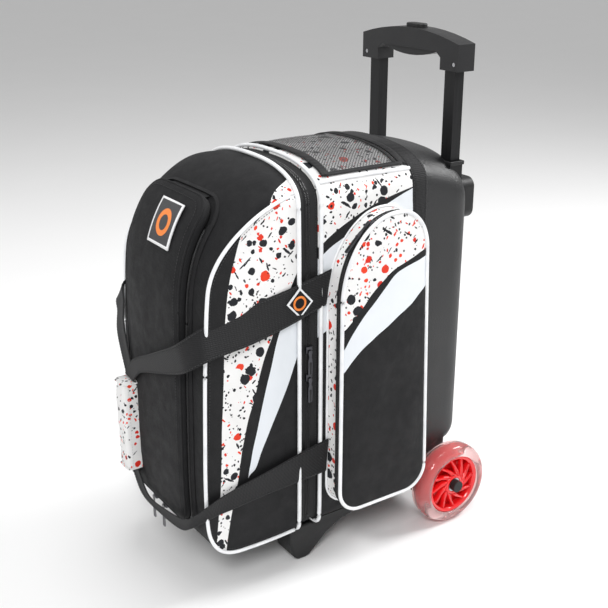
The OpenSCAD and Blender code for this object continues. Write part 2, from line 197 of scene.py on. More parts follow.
def tube(name, path, r, mat, closed=False, n=10, flat=1.0, normal=None):
    """Round or flattened tube along path."""
    p = np.array(path, float)
    k = len(p)
    T = np.roll(p, -1, 0) - np.roll(p, 1, 0) if closed else np.gradient(p, axis=0)
    T /= np.linalg.norm(T, axis=1)[:, None]
    ref = np.array(normal if normal is not None else (0, 0, 1.0), float)
    out = np.zeros((k, n, 3))
    for i in range(k):
        a = np.cross(T[i], ref)
        if np.linalg.norm(a) < 0.05:
            a = np.cross(T[i], (0.0, 1.0, 0.1))
        a /= np.linalg.norm(a)
        b = np.cross(T[i], a)
        for j in range(n):
            q = 2 * PI * j / n
            out[i, j] = p[i] + r * (math.cos(q) * a + flat * math.sin(q) * b)
    return grid(name, out, mat, closed_u=closed, closed_v=True, caps=not closed)


def lathe_x(name, prof, x0, y, z, mat, n=72):
    """prof: (x, r) pairs, turned about the X axis through (y, z)."""
    P = np.zeros((n, len(prof), 3))
    for i in range(n):
        a = 2 * PI * i / n
        for j, (x, r) in enumerate(prof):
            P[i, j] = (x0 + x, y + r * math.cos(a), z + r * math.sin(a))
    return grid(name, P, mat, closed_u=True, closed_v=True)


def join(name, obs):
    for o in bpy.context.selected_objects:
        o.select_set(False)
    bpy.context.view_layer.objects.active = obs[0]
    for o in obs:
        o.select_set(True)
    bpy.ops.object.join()
    ob = bpy.context.view_layer.objects.active
    ob.name = name
    ob.select_set(False)
    return ob


def soften(node, name, width, mat, remesh=0.0, relax=0):
    """A copy of a CAD node's mesh with rounded edges, which then stands for it."""
    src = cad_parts[node]
    ob = bpy.data.objects.new(name, src.data.copy())
    bpy.context.scene.collection.objects.link(ob)
    ob.data.materials.clear()
    ob.data.materials.append(mat)
    bm = bmesh.new()
    bm.from_mesh(ob.data)
    bmesh.ops.remove_doubles(bm, verts=bm.verts, dist=1e-5)
    bmesh.ops.dissolve_limit(bm, angle_limit=math.radians(1.0), verts=bm.verts, edges=bm.edges)
    bm.to_mesh(ob.data)
    bm.free()
    if remesh:
        m = ob.modifiers.new("r", "REMESH")
        m.mode, m.voxel_size = "VOXEL", remesh
        m = ob.modifiers.new("c", "SMOOTH")
        m.factor, m.iterations = 0.5, relax
    else:
        m = ob.modifiers.new("b", "BEVEL")
        m.width, m.segments, m.limit_method, m.angle_limit = width, 3, "ANGLE", math.radians(28)
    apply_modifiers(ob)
    shade_smooth(ob.data)
    if not remesh:
        m = ob.modifiers.new("w", "WEIGHTED_NORMAL")
        m.keep_sharp = False
        apply_modifiers(ob)
    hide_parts(node)
    return ob


def stitches(name, path, mat, step=0.0042, length=0.0026, r=0.00045):
    """A row of short threads along path, as one mesh."""
    p = np.array(path, float)
    total = np.linalg.norm(np.diff(p, axis=0), axis=1).sum()
    q = even(p, max(4, int(total / step)))
    V, F = [], []
    for i in range(len(q) - 1):
        t = q[i + 1] - q[i]
        L = np.linalg.norm(t)
        if L < 1e-9:
            continue
        t /= L
        a = np.cross(t, (0.3, 0.5, 0.81))
        a /= np.linalg.norm(a)
        b = np.cross(t, a)
        base = len(V)
        for k, (u, w) in enumerate(((0, 0.4), (0.25, 1), (0.75, 1), (1, 0.4))):
            c = q[i] + t * length * u
            for m in range(5):
                an = 2 * PI * m / 5
                V.append(c + w * r * (math.cos(an) * a + math.sin(an) * b))
        for k in range(3):
            for m in range(5):
                a0, a1 = base + k * 5 + m, base + k * 5 + (m + 1) % 5
                F.append((a0, a1, a1 + 5, a0 + 5))
        F.append(tuple(base + m for m in range(4, -1, -1)))
        F.append(tuple(base + 15 + m for m in range(5)))
    return new_mesh(name, V, F, mat)


# ---- Materials ---------------------------------------------------------------


class Nodes:
    """Short names for building a material's nodes."""

    def __init__(self, name):
        self.mat = bpy.data.materials.new(name)
        self.mat.use_nodes = True
        self.t = self.mat.node_tree
        self.bsdf = self.t.nodes["Principled BSDF"]
        self.pos = self.new("ShaderNodeTexCoord").outputs["Object"]
        s = self.new("ShaderNodeSeparateXYZ")
        self.link(self.pos, s.inputs[0])
        self.x, self.y, self.z = s.outputs

    def new(self, kind, **k):
        n = self.t.nodes.new(kind)
        for a, v in k.items():
            setattr(n, a, v)
        return n

    def link(self, a, b):
        self.t.links.new(a, b)

    def val(self, v, sock):
        if hasattr(v, "links"):
            self.link(v, sock)
        else:
            sock.default_value = v

    def math(self, op, a, b=0.0):
        n = self.new("ShaderNodeMath", operation=op)
        self.val(a, n.inputs[0])
        self.val(b, n.inputs[1])
        return n.outputs[0]

    def above(self, a, b):
        return self.math("GREATER_THAN", a, b)

    def below(self, a, b):
        return self.math("LESS_THAN", a, b)

    def vmath(self, op, a, b=(0, 0, 0)):
        n = self.new("ShaderNodeVectorMath", operation=op)
        self.val(a, n.inputs[0])
        self.val(b, n.inputs[1])
        return n.outputs[0]

    def scaled(self, s):
        return self.vmath("ADD", self.vmath("MULTIPLY", self.pos, s), (0, 0, 0))

    def noise(self, scale, detail=2.0, rough=0.5, vec=None, color=False):
        n = self.new("ShaderNodeTexNoise")
        self.link(vec if vec is not None else self.pos, n.inputs["Vector"])
        n.inputs["Scale"].default_value = scale
        n.inputs["Detail"].default_value = detail
        n.inputs["Roughness"].default_value = rough
        return n.outputs["Color" if color else "Fac"]

    def voronoi(self, scale, vec=None):
        n = self.new("ShaderNodeTexVoronoi", feature="F1")
        self.link(vec if vec is not None else self.pos, n.inputs["Vector"])
        n.inputs["Scale"].default_value = scale
        return n

    def ramp(self, fac, a, b, lo=0.0, hi=1.0):
        n = self.new("ShaderNodeMapRange", clamp=True)
        self.val(fac, n.inputs["Value"])
        n.inputs["From Min"].default_value, n.inputs["From Max"].default_value = a, b
        n.inputs["To Min"].default_value, n.inputs["To Max"].default_value = lo, hi
        return n.outputs[0]

    def mix(self, fac, a, b):
        n = self.new("ShaderNodeMix", data_type="RGBA")
        self.val(fac, n.inputs[0])
        for v, s in ((a, n.inputs[6]), (b, n.inputs[7])):
            self.val(v if hasattr(v, "links") else (*v, 1), s)
        return n.outputs[2]

    def curve(self, value, points, lo, hi, olo, ohi):
        """A smooth function through points, from [lo, hi] to [olo, ohi]."""
        f = self.new("ShaderNodeFloatCurve")
        self.link(self.ramp(value, lo, hi), f.inputs["Value"])
        c = f.mapping.curves[0]
        pts = [((a - lo) / (hi - lo), (b - olo) / (ohi - olo)) for a, b in points]
        while len(c.points) < len(pts):
            c.points.new(0.5, 0.5)
        for p, (a, b) in zip(c.points, pts):
            p.location = (a, b)
        f.mapping.update()
        return self.ramp(f.outputs[0], 0, 1, olo, ohi)

    def bump(self, height, strength=0.3, distance=0.001, normal=None):
        n = self.new("ShaderNodeBump")
        n.inputs["Strength"].default_value = strength
        n.inputs["Distance"].default_value = distance
        self.link(height, n.inputs["Height"])
        if normal is not None:
            self.link(normal, n.inputs["Normal"])
        return n.outputs[0]

    def weave(self, pitch):
        """Height of a plain weave on any plane square to an axis."""
        k = PI / pitch
        s = self.vmath("SINE", self.vmath("MULTIPLY", self.pos, (k, k, k)))
        a = self.vmath("ABSOLUTE", s)
        n = self.new("ShaderNodeVectorMath", operation="DOT_PRODUCT")
        self.link(a, n.inputs[0])
        n.inputs[1].default_value = (1, 1, 1)
        return n.outputs["Value"]

    def done(self, color, rough=0.6, normal=None, **k):
        """Link the colour, roughness and normal; k sets constants on the shader's own sockets."""
        b = self.bsdf
        self.link(color, b.inputs["Base Color"])
        self.val(rough, b.inputs["Roughness"])
        if normal is not None:
            self.link(normal, b.inputs["Normal"])
        for name, v in k.items():
            b.inputs[name.replace("_", " ").title().replace("Ior", "IOR")].default_value = v
        return self.mat


def black_cloth_color(n, base=(0.0062, 0.0062, 0.0068)):
    v = n.noise(9, 3, 0.6)
    f = n.noise(900, 2, 0.6)
    c = n.mix(v, tuple(0.75 * a for a in base), tuple(1.5 * a for a in base))
    return n.mix(n.ramp(f, 0.35, 0.75), c, tuple(2.3 * a for a in base))


def pale_cloth_color(n):
    return n.mix(n.noise(14, 2), (0.70, 0.735, 0.78), (0.80, 0.83, 0.86))


def paint_color(n):
    """White cloth with thrown drops and streaks of black, red and orange paint."""
    wobble = n.vmath("SUBTRACT", n.noise(70, 3, 0.6, color=True), (0.5, 0.5, 0.5))
    p = n.vmath("ADD", n.pos, n.vmath("MULTIPLY", wobble, (0.0065, 0.0065, 0.0065)))

    def cells(scale, place, share, r0, r1):
        """A drop of radius r0 to r1 in some of the cells, and a random number for each cell."""
        v = n.voronoi(scale, place)
        s = n.new("ShaderNodeSeparateColor")
        n.link(v.outputs["Color"], s.inputs[0])
        r = n.ramp(s.outputs[0], 1 - share, 1.0, r0, r1)
        on = n.above(s.outputs[0], 1 - share)
        return n.math("MULTIPLY", on, n.below(v.outputs["Distance"], r)), s.outputs[1]

    def drops(scale, offset, share, r0, r1):
        return cells(scale, n.vmath("ADD", p, offset), share, r0, r1)

    def streaks(scale, offset, turn, share, width):
        """Long thin drops: round drops seen in a space stretched along one direction."""
        q = n.new("ShaderNodeMapping", vector_type="TEXTURE")
        n.link(n.vmath("ADD", p, offset), q.inputs["Vector"])
        q.inputs["Rotation"].default_value = turn
        q.inputs["Scale"].default_value = (1, 1, 11)
        return cells(scale, q.outputs[0], share, width * 0.5, width)[0]

    c = n.mix(n.noise(30, 2), (0.76, 0.755, 0.75), (0.86, 0.855, 0.85))
    r1, k1 = drops(48, (1.3, 2.2, 0.4), 0.34, 0.10, 0.36)
    r2, _ = drops(130, (5.1, 0.2, 3.4), 0.22, 0.12, 0.40)
    rs = streaks(95, (7.7, 4.1, 2.2), (0.7, 0.3, 0.5), 0.80, 0.17)
    rt = streaks(110, (2.7, 8.1, 5.2), (-0.5, -0.4, 0.2), 0.70, 0.17)
    red = n.mix(k1, (0.62, 0.02, 0.012), (0.80, 0.06, 0.02))
    for m in (rs, rt, r1, r2):
        c = n.mix(m, c, red)
    b1, _ = drops(38, (0.4, 0.9, 2.6), 0.46, 0.10, 0.40)
    b2, _ = drops(95, (3.4, 1.9, 0.6), 0.36, 0.10, 0.44)
    b3, _ = drops(210, (2.4, 6.9, 1.6), 0.26, 0.14, 0.45)
    bs = streaks(90, (0.7, 1.1, 4.2), (0.95, 0.2, 0.1), 0.90, 0.18)
    bt = streaks(120, (4.7, 5.1, 0.2), (-0.75, 0.4, 0.1), 0.80, 0.17)
    bu = streaks(105, (9.7, 3.1, 6.2), (0.15, -0.5, 0.5), 0.70, 0.17)
    for m in (b3, bs, bt, bu, b2, b1):
        c = n.mix(m, c, (0.013, 0.014, 0.018))
    return c


def cloth_finish(n, color, pitch=0.0011, rough=0.72, strength=0.35):
    b = n.bump(n.noise(22, 3, 0.55), 0.25, 0.004)
    b = n.bump(n.weave(pitch), strength, 0.00035, b)
    return n.done(color, n.ramp(n.noise(60, 2), 0.3, 0.7, rough - 0.08, rough + 0.08), b,
                  sheen_weight=0.03, sheen_roughness=0.4, specular_ior_level=0.22)


def m_black():
    n = Nodes("black_polyester")
    return cloth_finish(n, black_cloth_color(n))


def m_paint():
    n = Nodes("paint_print")
    return cloth_finish(n, paint_color(n), rough=0.6, strength=0.25)


def m_front_side():
    """Side panel of the front section: black, paint, black, pale, black."""
    n = Nodes("front_side_print")
    Z = (0.05, 0.60)
    Y = (-0.24, -0.03)
    b1 = n.curve(n.z,
                 [(0.05, -0.207), (0.112, -0.202), (0.20, -0.194), (0.262, -0.191), (0.35, -0.1855), (0.412, -0.181),
                       (0.45, -0.175), (0.475, -0.168), (0.52, -0.151), (0.56, -0.120), (0.60, -0.10)], *Z, *Y)
    b2 = n.curve(n.z,
                 [(0.05, -0.192), (0.119, -0.183), (0.169, -0.171), (0.225, -0.161), (0.262, -0.152), (0.287, -0.144),
                       (0.331, -0.131), (0.369, -0.114), (0.438, -0.080), (0.49, -0.05), (0.60, -0.03)], *Z, *Y)
    b3 = n.curve(n.z,
                 [(0.05, -0.155), (0.173, -0.154), (0.20, -0.149), (0.25, -0.1375), (0.294, -0.127), (0.331, -0.116),
                       (0.367, -0.105), (0.384, -0.097), (0.42, -0.078), (0.47, -0.045), (0.60, -0.03)], *Z, *Y)
    b4 = n.curve(n.z,
                 [(0.05, -0.156), (0.173, -0.154), (0.184, -0.1425), (0.206, -0.133), (0.2375, -0.119),
                  (0.266, -0.105),
                       (0.294, -0.091), (0.325, -0.077), (0.36, -0.06), (0.45, -0.03), (0.60, -0.03)], *Z, *Y)
    black = black_cloth_color(n)
    pale = pale_cloth_color(n)
    c = n.mix(n.below(n.y, b4), black, pale)
    c = n.mix(n.below(n.y, b3), c, black)
    c = n.mix(n.below(n.y, b2), c, paint_color(n))
    c = n.mix(n.below(n.y, b1), c, black)
    return cloth_finish(n, c, rough=0.64)


def m_front_panel():
    """Black front panel with a painted corner where the side meets the ring."""
    n = Nodes("front_panel_print")
    ax = n.math("ABSOLUTE", n.x)
    edge = n.math("ADD", ax, n.math("MULTIPLY", n.math("ADD", n.y, 0.114), 0.56))
    m = n.math("MULTIPLY", n.above(edge, HALF_W), n.above(n.z, 0.45))
    return cloth_finish(n, n.mix(m, black_cloth_color(n), paint_color(n)))


def m_rear_side():
    """Rear section: paint above a black sweep, pale below it, black at the bottom."""
    n = Nodes("rear_side_print")
    Y = (-0.05, 0.15)
    Z = (0.42, 0.60)
    top = n.curve(n.y,
                  [(-0.05, 0.470), (-0.044, 0.473), (-0.024, 0.4875), (0.001, 0.501), (0.032, 0.514), (0.07, 0.525),
                        (0.1075, 0.5325), (0.15, 0.539)], *Y, *Z)
    low = n.curve(n.y,
                  [(-0.05, 0.454), (-0.044, 0.4575), (-0.024, 0.472), (0.001, 0.484), (0.026, 0.497), (0.045, 0.506),
                        (0.07, 0.517), (0.107, 0.530), (0.15, 0.539)], *Y, *Z)
    black = black_cloth_color(n)
    pale = pale_cloth_color(n)
    foot = n.curve(n.y, [(-0.05, 0.345), (-0.02, 0.362), (0.03, 0.392), (0.08, 0.415), (0.15, 0.436)], *Y, 0.30, 0.48)
    c = n.mix(n.above(n.z, foot), black, pale)
    c = n.mix(n.above(n.z, low), c, black)
    c = n.mix(n.above(n.z, top), c, paint_color(n))
    return cloth_finish(n, c, rough=0.64)


def m_pocket_face():
    """Side pocket's face: paint, black sweep, pale sweep, black."""
    n = Nodes("pocket_face_print")
    Y = (-0.04, 0.13)
    Z = (0.26, 0.50)
    c1 = n.curve(n.y,
                 [(-0.04, 0.352), (-0.03, 0.360), (-0.014, 0.375), (0.0025, 0.392), (0.019, 0.411), (0.036, 0.425),
                       (0.0525, 0.436), (0.069, 0.442), (0.086, 0.4475), (0.10, 0.453), (0.13, 0.462)], *Y, *Z)
    c2 = n.curve(n.y,
                 [(-0.04, 0.305), (-0.03, 0.323), (-0.0225, 0.340), (-0.01, 0.361), (0.007, 0.382), (0.023, 0.398),
                       (0.04, 0.415), (0.057, 0.430), (0.069, 0.435), (0.10, 0.443), (0.13, 0.452)], *Y, *Z)
    c3 = n.curve(n.y,
                 [(-0.04, 0.282), (-0.03, 0.296), (-0.018, 0.312), (-0.002, 0.330), (0.019, 0.345), (0.04, 0.357),
                       (0.065, 0.371), (0.086, 0.3825), (0.10, 0.394), (0.13, 0.414)], *Y, *Z)
    black = black_cloth_color(n)
    pale = pale_cloth_color(n)
    c = n.mix(n.above(n.z, c3), black, pale)
    c = n.mix(n.above(n.z, c2), c, black)
    c = n.mix(n.above(n.z, c1), c, paint_color(n))
    return cloth_finish(n, c, rough=0.64)


def m_webbing():
    n = Nodes("webbing")
    k = 2 * PI / 0.0028
    xy = n.math("ADD", n.x, n.y)
    a, b = (n.math("SINE", n.math("MULTIPLY", n.math(op, xy, n.z), k * 0.62)) for op in ("ADD", "SUBTRACT"))
    h = n.math("MULTIPLY", a, b)
    # painted highlight and painted shade: colour follows the weave height h, lighter on the ridges and darker in the
    # grooves
    c = n.mix(n.ramp(h, -1, 1), (0.003, 0.003, 0.0035), (0.013, 0.013, 0.0145))
    nb = n.bump(h, 0.6, 0.0006)
    return n.done(c, 0.62, n.bump(n.noise(700, 2), 0.2, 0.0004, nb), sheen_weight=0.04, specular_ior_level=0.3)


def m_tape():
    n = Nodes("zip_tape")
    h = n.weave(0.0009)
    c = n.mix(n.noise(500, 2), (0.004, 0.004, 0.0045), (0.009, 0.009, 0.010))
    return n.done(c, 0.7, n.bump(h, 0.4, 0.0004))


def m_coil():
    n = Nodes("zip_coil")
    k = 2 * PI / 0.0019
    s = n.math("SINE", n.math("MULTIPLY", n.math("ADD", n.z, n.math("MULTIPLY", n.x, 0.9)), k))
    # painted highlight and painted shade: colour follows the teeth's height s, lighter on the crests and darker
    # between them
    c = n.mix(n.ramp(s, -1, 1), (0.003, 0.003, 0.0035), (0.028, 0.028, 0.030))
    return n.done(c, 0.4, n.bump(s, 0.9, 0.0008))


def m_piping():
    n = Nodes("white_piping")
    c = n.mix(n.ramp(n.noise(45, 3), 0.35, 0.7), (0.86, 0.87, 0.88), (0.74, 0.75, 0.77))
    return n.done(c, n.ramp(n.noise(90, 2), 0.3, 0.7, 0.28, 0.42), n.bump(n.noise(350, 2), 0.12, 0.0006),
                  coat_weight=0.15, coat_roughness=0.3)


def m_plastic(name, base, rough=0.5, grain=0.35, scale=900):
    n = Nodes(name)
    v = n.voronoi(scale)
    c = n.mix(n.noise(12, 3), tuple(0.85 * a for a in base), tuple(1.25 * a for a in base))
    r = n.ramp(n.noise(35, 3), 0.3, 0.7, rough - 0.07, rough + 0.08)
    return n.done(c, r, n.bump(v.outputs["Distance"], grain, 0.00035), specular_ior_level=0.4)


def m_shell():
    n = Nodes("hard_shell_grain")
    v = n.voronoi(520)
    w = n.voronoi(1300)
    h = n.math("ADD", v.outputs["Distance"], n.math("MULTIPLY", w.outputs["Distance"], 0.5))
    c = n.mix(n.noise(6, 3), (0.008, 0.0083, 0.009), (0.0125, 0.013, 0.014))
    return n.done(c, n.ramp(n.noise(18, 4), 0.3, 0.7, 0.36, 0.46), n.bump(h, 0.5, 0.0005))


def m_metal(name, base, rough=0.3):
    n = Nodes(name)
    q = n.noise(260, 2, 0.5, n.scaled((1, 1, 0.06)))
    c = n.mix(n.noise(40, 2), tuple(0.8 * a for a in base), base)
    return n.done(c, n.ramp(q, 0.3, 0.7, rough - 0.05, rough + 0.1), n.bump(q, 0.15, 0.0003), metallic=1.0)


def m_tube():
    n = Nodes("black_painted_tube")
    q = n.noise(420, 2, 0.5, n.scaled((1, 1, 0.02)))
    c = n.mix(n.ramp(q, 0.3, 0.7), (0.004, 0.004, 0.0045), (0.008, 0.008, 0.009))
    return n.done(c, n.ramp(q, 0.3, 0.7, 0.36, 0.46), n.bump(q, 0.06, 0.0003),
                  specular_ior_level=0.3)


def m_red():
    n = Nodes("red_core")
    c = n.mix(n.noise(30, 2), (0.74, 0.006, 0.010), (0.90, 0.014, 0.016))
    return n.done(c, n.ramp(n.noise(60, 2), 0.3, 0.7, 0.14, 0.24), n.bump(n.noise(120, 2), 0.05, 0.0005),
                  coat_weight=0.5, coat_roughness=0.08)


def m_clear():
    n = Nodes("clear_tyre")
    c = n.mix(n.noise(25, 2), (0.98, 0.62, 0.61), (0.99, 0.74, 0.73))
    return n.done(c, n.ramp(n.noise(80, 2), 0.3, 0.7, 0.05, 0.13), n.bump(n.noise(90, 2), 0.04, 0.0005),
                  transmission_weight=0.88, ior=1.42)


def m_net():
    """Open net: square holes between crossed threads."""
    n = Nodes("net")
    k = PI / 0.0034
    a, b = (n.math("ABSOLUTE", n.math("SINE", n.math("MULTIPLY", n.math(op, n.x, n.y), k * 0.7071)))
            for op in ("ADD", "SUBTRACT"))
    m = n.math("MINIMUM", a, b)
    solid = n.below(m, 0.36)
    c = n.mix(n.noise(600, 2), (0.035, 0.035, 0.036), (0.14, 0.14, 0.145))
    n.done(c, 0.6, n.bump(m, 0.5, 0.0005))
    n.link(solid, n.bsdf.inputs["Alpha"])
    return n.mat


def m_lining():
    n = Nodes("grey_lining")
    c = n.mix(n.noise(20, 3), (0.035, 0.036, 0.04), (0.06, 0.062, 0.068))
    return cloth_finish(n, c, 0.0014, 0.8)


def m_thread(name, col):
    n = Nodes(name)
    c = n.mix(n.noise(400, 2), tuple(0.7 * a for a in col), col)
    return n.done(c, 0.6, n.bump(n.noise(1500, 2), 0.3, 0.0002))


def m_badge(cx, cz, hz):
    """Plain badge: a pale rim, a dark field and an orange ring."""
    n = Nodes("badge")
    dx = n.math("SUBTRACT", n.x, cx)
    dz = n.math("MULTIPLY", n.math("SUBTRACT", n.z, cz), 0.028 / hz)
    box = n.math("MAXIMUM", n.math("ABSOLUTE", dx), n.math("ABSOLUTE", dz))
    r = n.math("SQRT", n.math("ADD", n.math("MULTIPLY", dx, dx), n.math("MULTIPLY", dz, dz)))
    ring = n.math("MULTIPLY", n.below(r, 0.0165), n.above(r, 0.0095))
    c = n.mix(n.noise(300, 2), (0.014, 0.014, 0.016), (0.03, 0.03, 0.034))
    c = n.mix(ring, c, (0.85, 0.22, 0.02))
    c = n.mix(n.above(box, 0.0248), c, (0.82, 0.82, 0.83))
    return n.done(c, 0.38, n.bump(n.weave(0.0012), 0.25, 0.0003))


M = dict(black=m_black(), panel=m_front_panel(), paint=m_paint(), front=m_front_side(), rear=m_rear_side(),
         pocket=m_pocket_face(), web=m_webbing(), tape=m_tape(), coil=m_coil(), piping=m_piping(), shell=m_shell(),
         plastic=m_plastic("textured_plastic", (0.0085, 0.0085, 0.009)),
         grip=m_plastic("grip_plastic", (0.011, 0.011, 0.012), 0.42, 0.25, 1200),
         board=m_plastic("liner_board", (0.05, 0.05, 0.053), 0.7), zinc=m_metal("zinc", (0.55, 0.55, 0.57)),
         dark=m_metal("dark_plated", (0.09, 0.09, 0.10), 0.32),
         nickel=m_metal("nickel_pull", (0.20, 0.20, 0.21), 0.26),
         tube=m_tube(), red=m_red(), clear=m_clear(), net=m_net(), lining=m_lining(),
         thread=m_thread("black_thread", (0.03, 0.03, 0.032)),
         white_thread=m_thread("white_thread", (0.7, 0.7, 0.7)))


def paint_node(node, mat):
    """Give a CAD node that stays visible its material."""
    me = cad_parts[node].data
    me.materials.clear()
    me.materials.append(M[mat])


def put(ob, body, slot, *nodes):
    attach(ob, body)
    if nodes:
        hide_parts(*nodes)
    return ob


# ---- Rear section ------------------------------------------------------------

Y_TAPE0, Y_ZIP, Y_REAR, Y_SEAM = -0.071, -0.057, -0.042, 0.137


def ring_surface(y0, y1, nv, amp, ease):
    """The bag's outline swept from y0 to y1, swelling by ease and wrinkled by amp."""
    o = body_outline(bulge=0.0015)
    P = np.zeros((len(o), nv, 3))
    for j, y in enumerate(np.linspace(y0, y1, nv)):
        t = (y - y0) / (y1 - y0)
        e = ease * math.sin(PI * t) ** 0.6
        for i, (x, z) in enumerate(o):
            nx, nz = x / HALF_W, max(0.0, z - SHOULDER) / 0.05
            L = math.hypot(nx, nz) or 1
            w = e + wrinkle((x, y, z), amp, 9.0) * math.sin(PI * t) ** 0.5
            w = 0 if z < 0.07 else w
            P[i, j] = (x + w * nx / L, y, z + w * nz / L)
    return P


rear = sheet("rear_section_shell", ring_surface(Y_REAR, Y_SEAM, 44, ease=0.0025, amp=0.0022),
             [M["rear"], M["lining"]], (0, 0.05, 0.3), 0.003, 1, closed_u=True)
put(rear, "bag", "print_fabric", "rear_fabric_shell")


def ring_path(y, d, n=300):
    o = body_outline(d, n=n, bulge=0.0015)
    return np.stack([o[:, 0], np.full(len(o), y), o[:, 1]], 1)


def ring_stitches(y, d, *size):
    p = ring_path(y, d)
    return stitches("ring_stitches", np.vstack([p, p[:1]]), M["thread"], *size)


def piping_ring(name, y, body, node):
    core = tube(name, ring_path(y, 0.0026), 0.0029, M["piping"], closed=True, n=12)
    return put(core, body, "white_piping", node)


piping_ring("ring_piping_rear_cord", Y_REAR + 0.0025, "bag", "ring_piping_rear")
piping_ring("ring_piping_front_cord", Y_TAPE0 - 0.0025, "front_section", "ring_piping_front")


def tape_band(name, y0, y1, body, node):
    """Zipper tape that dips towards its coil."""
    rows = []
    for t in np.linspace(0, 1, 9):
        dip = -0.0018 - 0.0012 * math.sin(PI * t * 0.5)
        rows.append(ring_path(y0 + (y1 - y0) * t, dip))
    ob = sheet(name, np.stack(rows, 1), [M["tape"], M["lining"]], (0, y0, 0.3), 0.0012, 1, closed_u=True)
    coil_path = ring_path(y1 - np.sign(y1 - y0) * 0.0013, -0.0026, 360)
    coil = tube(name + "_coil", coil_path, 0.0015, M["coil"], closed=True, n=8)
    row = ring_stitches(y0 + (y1 - y0) * 0.18, -0.0016, 0.0036, 0.0024)
    return put(join(name, [ob, coil, row]), body, "zip_tape", node)


tape_band("main_zip_tape_rear_band", Y_REAR, Y_ZIP + 0.0005, "bag", "main_zip_tape_rear")
tape_band("main_zip_tape_front_band", Y_TAPE0, Y_ZIP - 0.0005, "front_section", "main_zip_tape_front")

BINDING = ((0.1105, 0.0004), (0.1115, 0.0018), (0.118, 0.0024), (0.128, 0.0026), (0.1365, 0.0022), (0.1385, 0.0005))
binding = sheet("back_binding_band", np.stack([ring_path(y, d) for y, d in BINDING], 1),
                M["web"], (0, 0.12, 0.3), 0.0012, closed_u=True)
rows = [ring_stitches(0.1135, 0.0024), ring_stitches(0.1345, 0.0026)]
put(join("back_binding_band", [binding] + rows), "bag", "black_webbing", "back_binding")

# white piping along the top's two edges
cords = [tube("top_edge", smooth([(s * 0.1078, -0.036, 0.5572), (s * 0.1084, 0.0, 0.5584), (s * 0.1084, 0.05, 0.5584),
                                  (s * 0.1076, 0.112, 0.5568)], 60), 0.0027, M["piping"]) for s in (1, -1)]
put(join("top_edge_piping_cords", cords), "bag", "white_piping", "top_edge_piping")


def top_z(x):
    """Height of the rear section's rounded top."""
    return SHOULDER + RISE * max(0.0, 1 - abs(x / HALF_W) ** 2.5) ** 0.4


def top_sheet(name, y0, y1, hx, d, mat, sag, ny=24, thick=0.0008):
    P = np.zeros((60, ny, 3))
    for i, x in enumerate(np.linspace(-hx, hx, 60)):
        for j, y in enumerate(np.linspace(y0, y1, ny)):
            t = (y - y0) / (y1 - y0)
            swell = 1 + 0.3 * mnoise.noise(Vector((x * 30, y * 30, 1)))
            P[i, j] = (x, y, top_z(x) + d + sag * math.sin(PI * t) * swell)
    return sheet(name, P, mat, (0, (y0 + y1) / 2, 0.3), thick)


net = top_sheet("net_pocket", -0.017, 0.104, 0.100, 0.0034, M["net"], 0.0016)
put(net, "bag", "mesh", "mesh_pocket")
bindings = [top_sheet("front_binding", -0.027, -0.014, 0.103, 0.0052, M["web"], 0.0006, 6, 0.0014),
            top_sheet("rear_binding", 0.0985, 0.109, 0.103, 0.0052, M["web"], 0.0006, 6, 0.0014),
            top_sheet("net_zip", 0.0905, 0.0955, 0.099, 0.0050, M["tape"], 0.0008, 5, 0.001)]
for s in (1, -1):
    pts = [(s * 0.100, y, top_z(0.100) + 0.004) for y in np.linspace(-0.023, 0.104, 20)]
    bindings.append(tube("side_binding", pts, 0.004, M["web"], flat=0.35, normal=(s * 0.45, 0, 1)))
put(join("net_bindings", bindings), "bag", "black_webbing", "mesh_bindings")

# ---- Hard back shell ---------------------------------------------------------


def shell_ring(y, hw, z0, zs, zt):
    o = body_outline(0, hw, z0, zs, zt, 0.012, n=200)
    return np.stack([o[:, 0], np.full(len(o), y), o[:, 1]], 1)


stations = [(0.1345, 0.1122, 0.0645, 0.529, 0.5762), (0.140, 0.1125, 0.064, 0.527, 0.5765),
            (0.1495, 0.1125, 0.064, 0.524, 0.5755),
            (0.150, 0.1125, 0.100, 0.5235, 0.5754), (0.165, 0.1125, 0.100, 0.517, 0.573),
            (0.185, 0.1125, 0.100, 0.508, 0.569),
            (0.1955, 0.1125, 0.100, 0.503, 0.566), (0.196, 0.1125, 0.120, 0.5027, 0.5658),
            (0.203, 0.1122, 0.122, 0.500, 0.563),
            (0.209, 0.1112, 0.126, 0.498, 0.559), (0.2145, 0.1092, 0.130, 0.496, 0.553),
            (0.2185, 0.1062, 0.134, 0.494, 0.546),
            (0.221, 0.102, 0.138, 0.492, 0.539), (0.222, 0.097, 0.142, 0.490, 0.533)]
P = np.stack([shell_ring(*s) for s in stations], 1)
shell = grid("hard_back_shell", P, [M["shell"]], closed_u=True)
inner = []
for sx, sz, dy in ((0.94, 0.985, 0.0), (0.90, 0.97, -0.0022), (0.55, 0.6, -0.0022), (0.0, 0.0, -0.0022)):
    r = shell_ring(0.222 + dy, 0.097, 0.142, 0.490, 0.533)
    c = np.array((0, 0.222 + dy, 0.337))
    inner.append(c + (r - c) * np.array((sx, 1, sz)))
back = grid("back_face", np.stack([P[:, -1]] + inner, 1), [M["shell"]], closed_u=True)
ribs = [tube("rib", [(x, 0.2205, z) for z in np.linspace(0.19, 0.44, 12)], 0.006, M["shell"], flat=0.35,
             normal=(0, 0, 1)) for x in (-0.045, 0.0, 0.045)]
shell = join("hard_back_shell", [shell, back] + ribs)
fix_normals(shell)
put(shell, "bag", "hard_shell", "back_shell")

# ---- Front section -----------------------------------------------------------

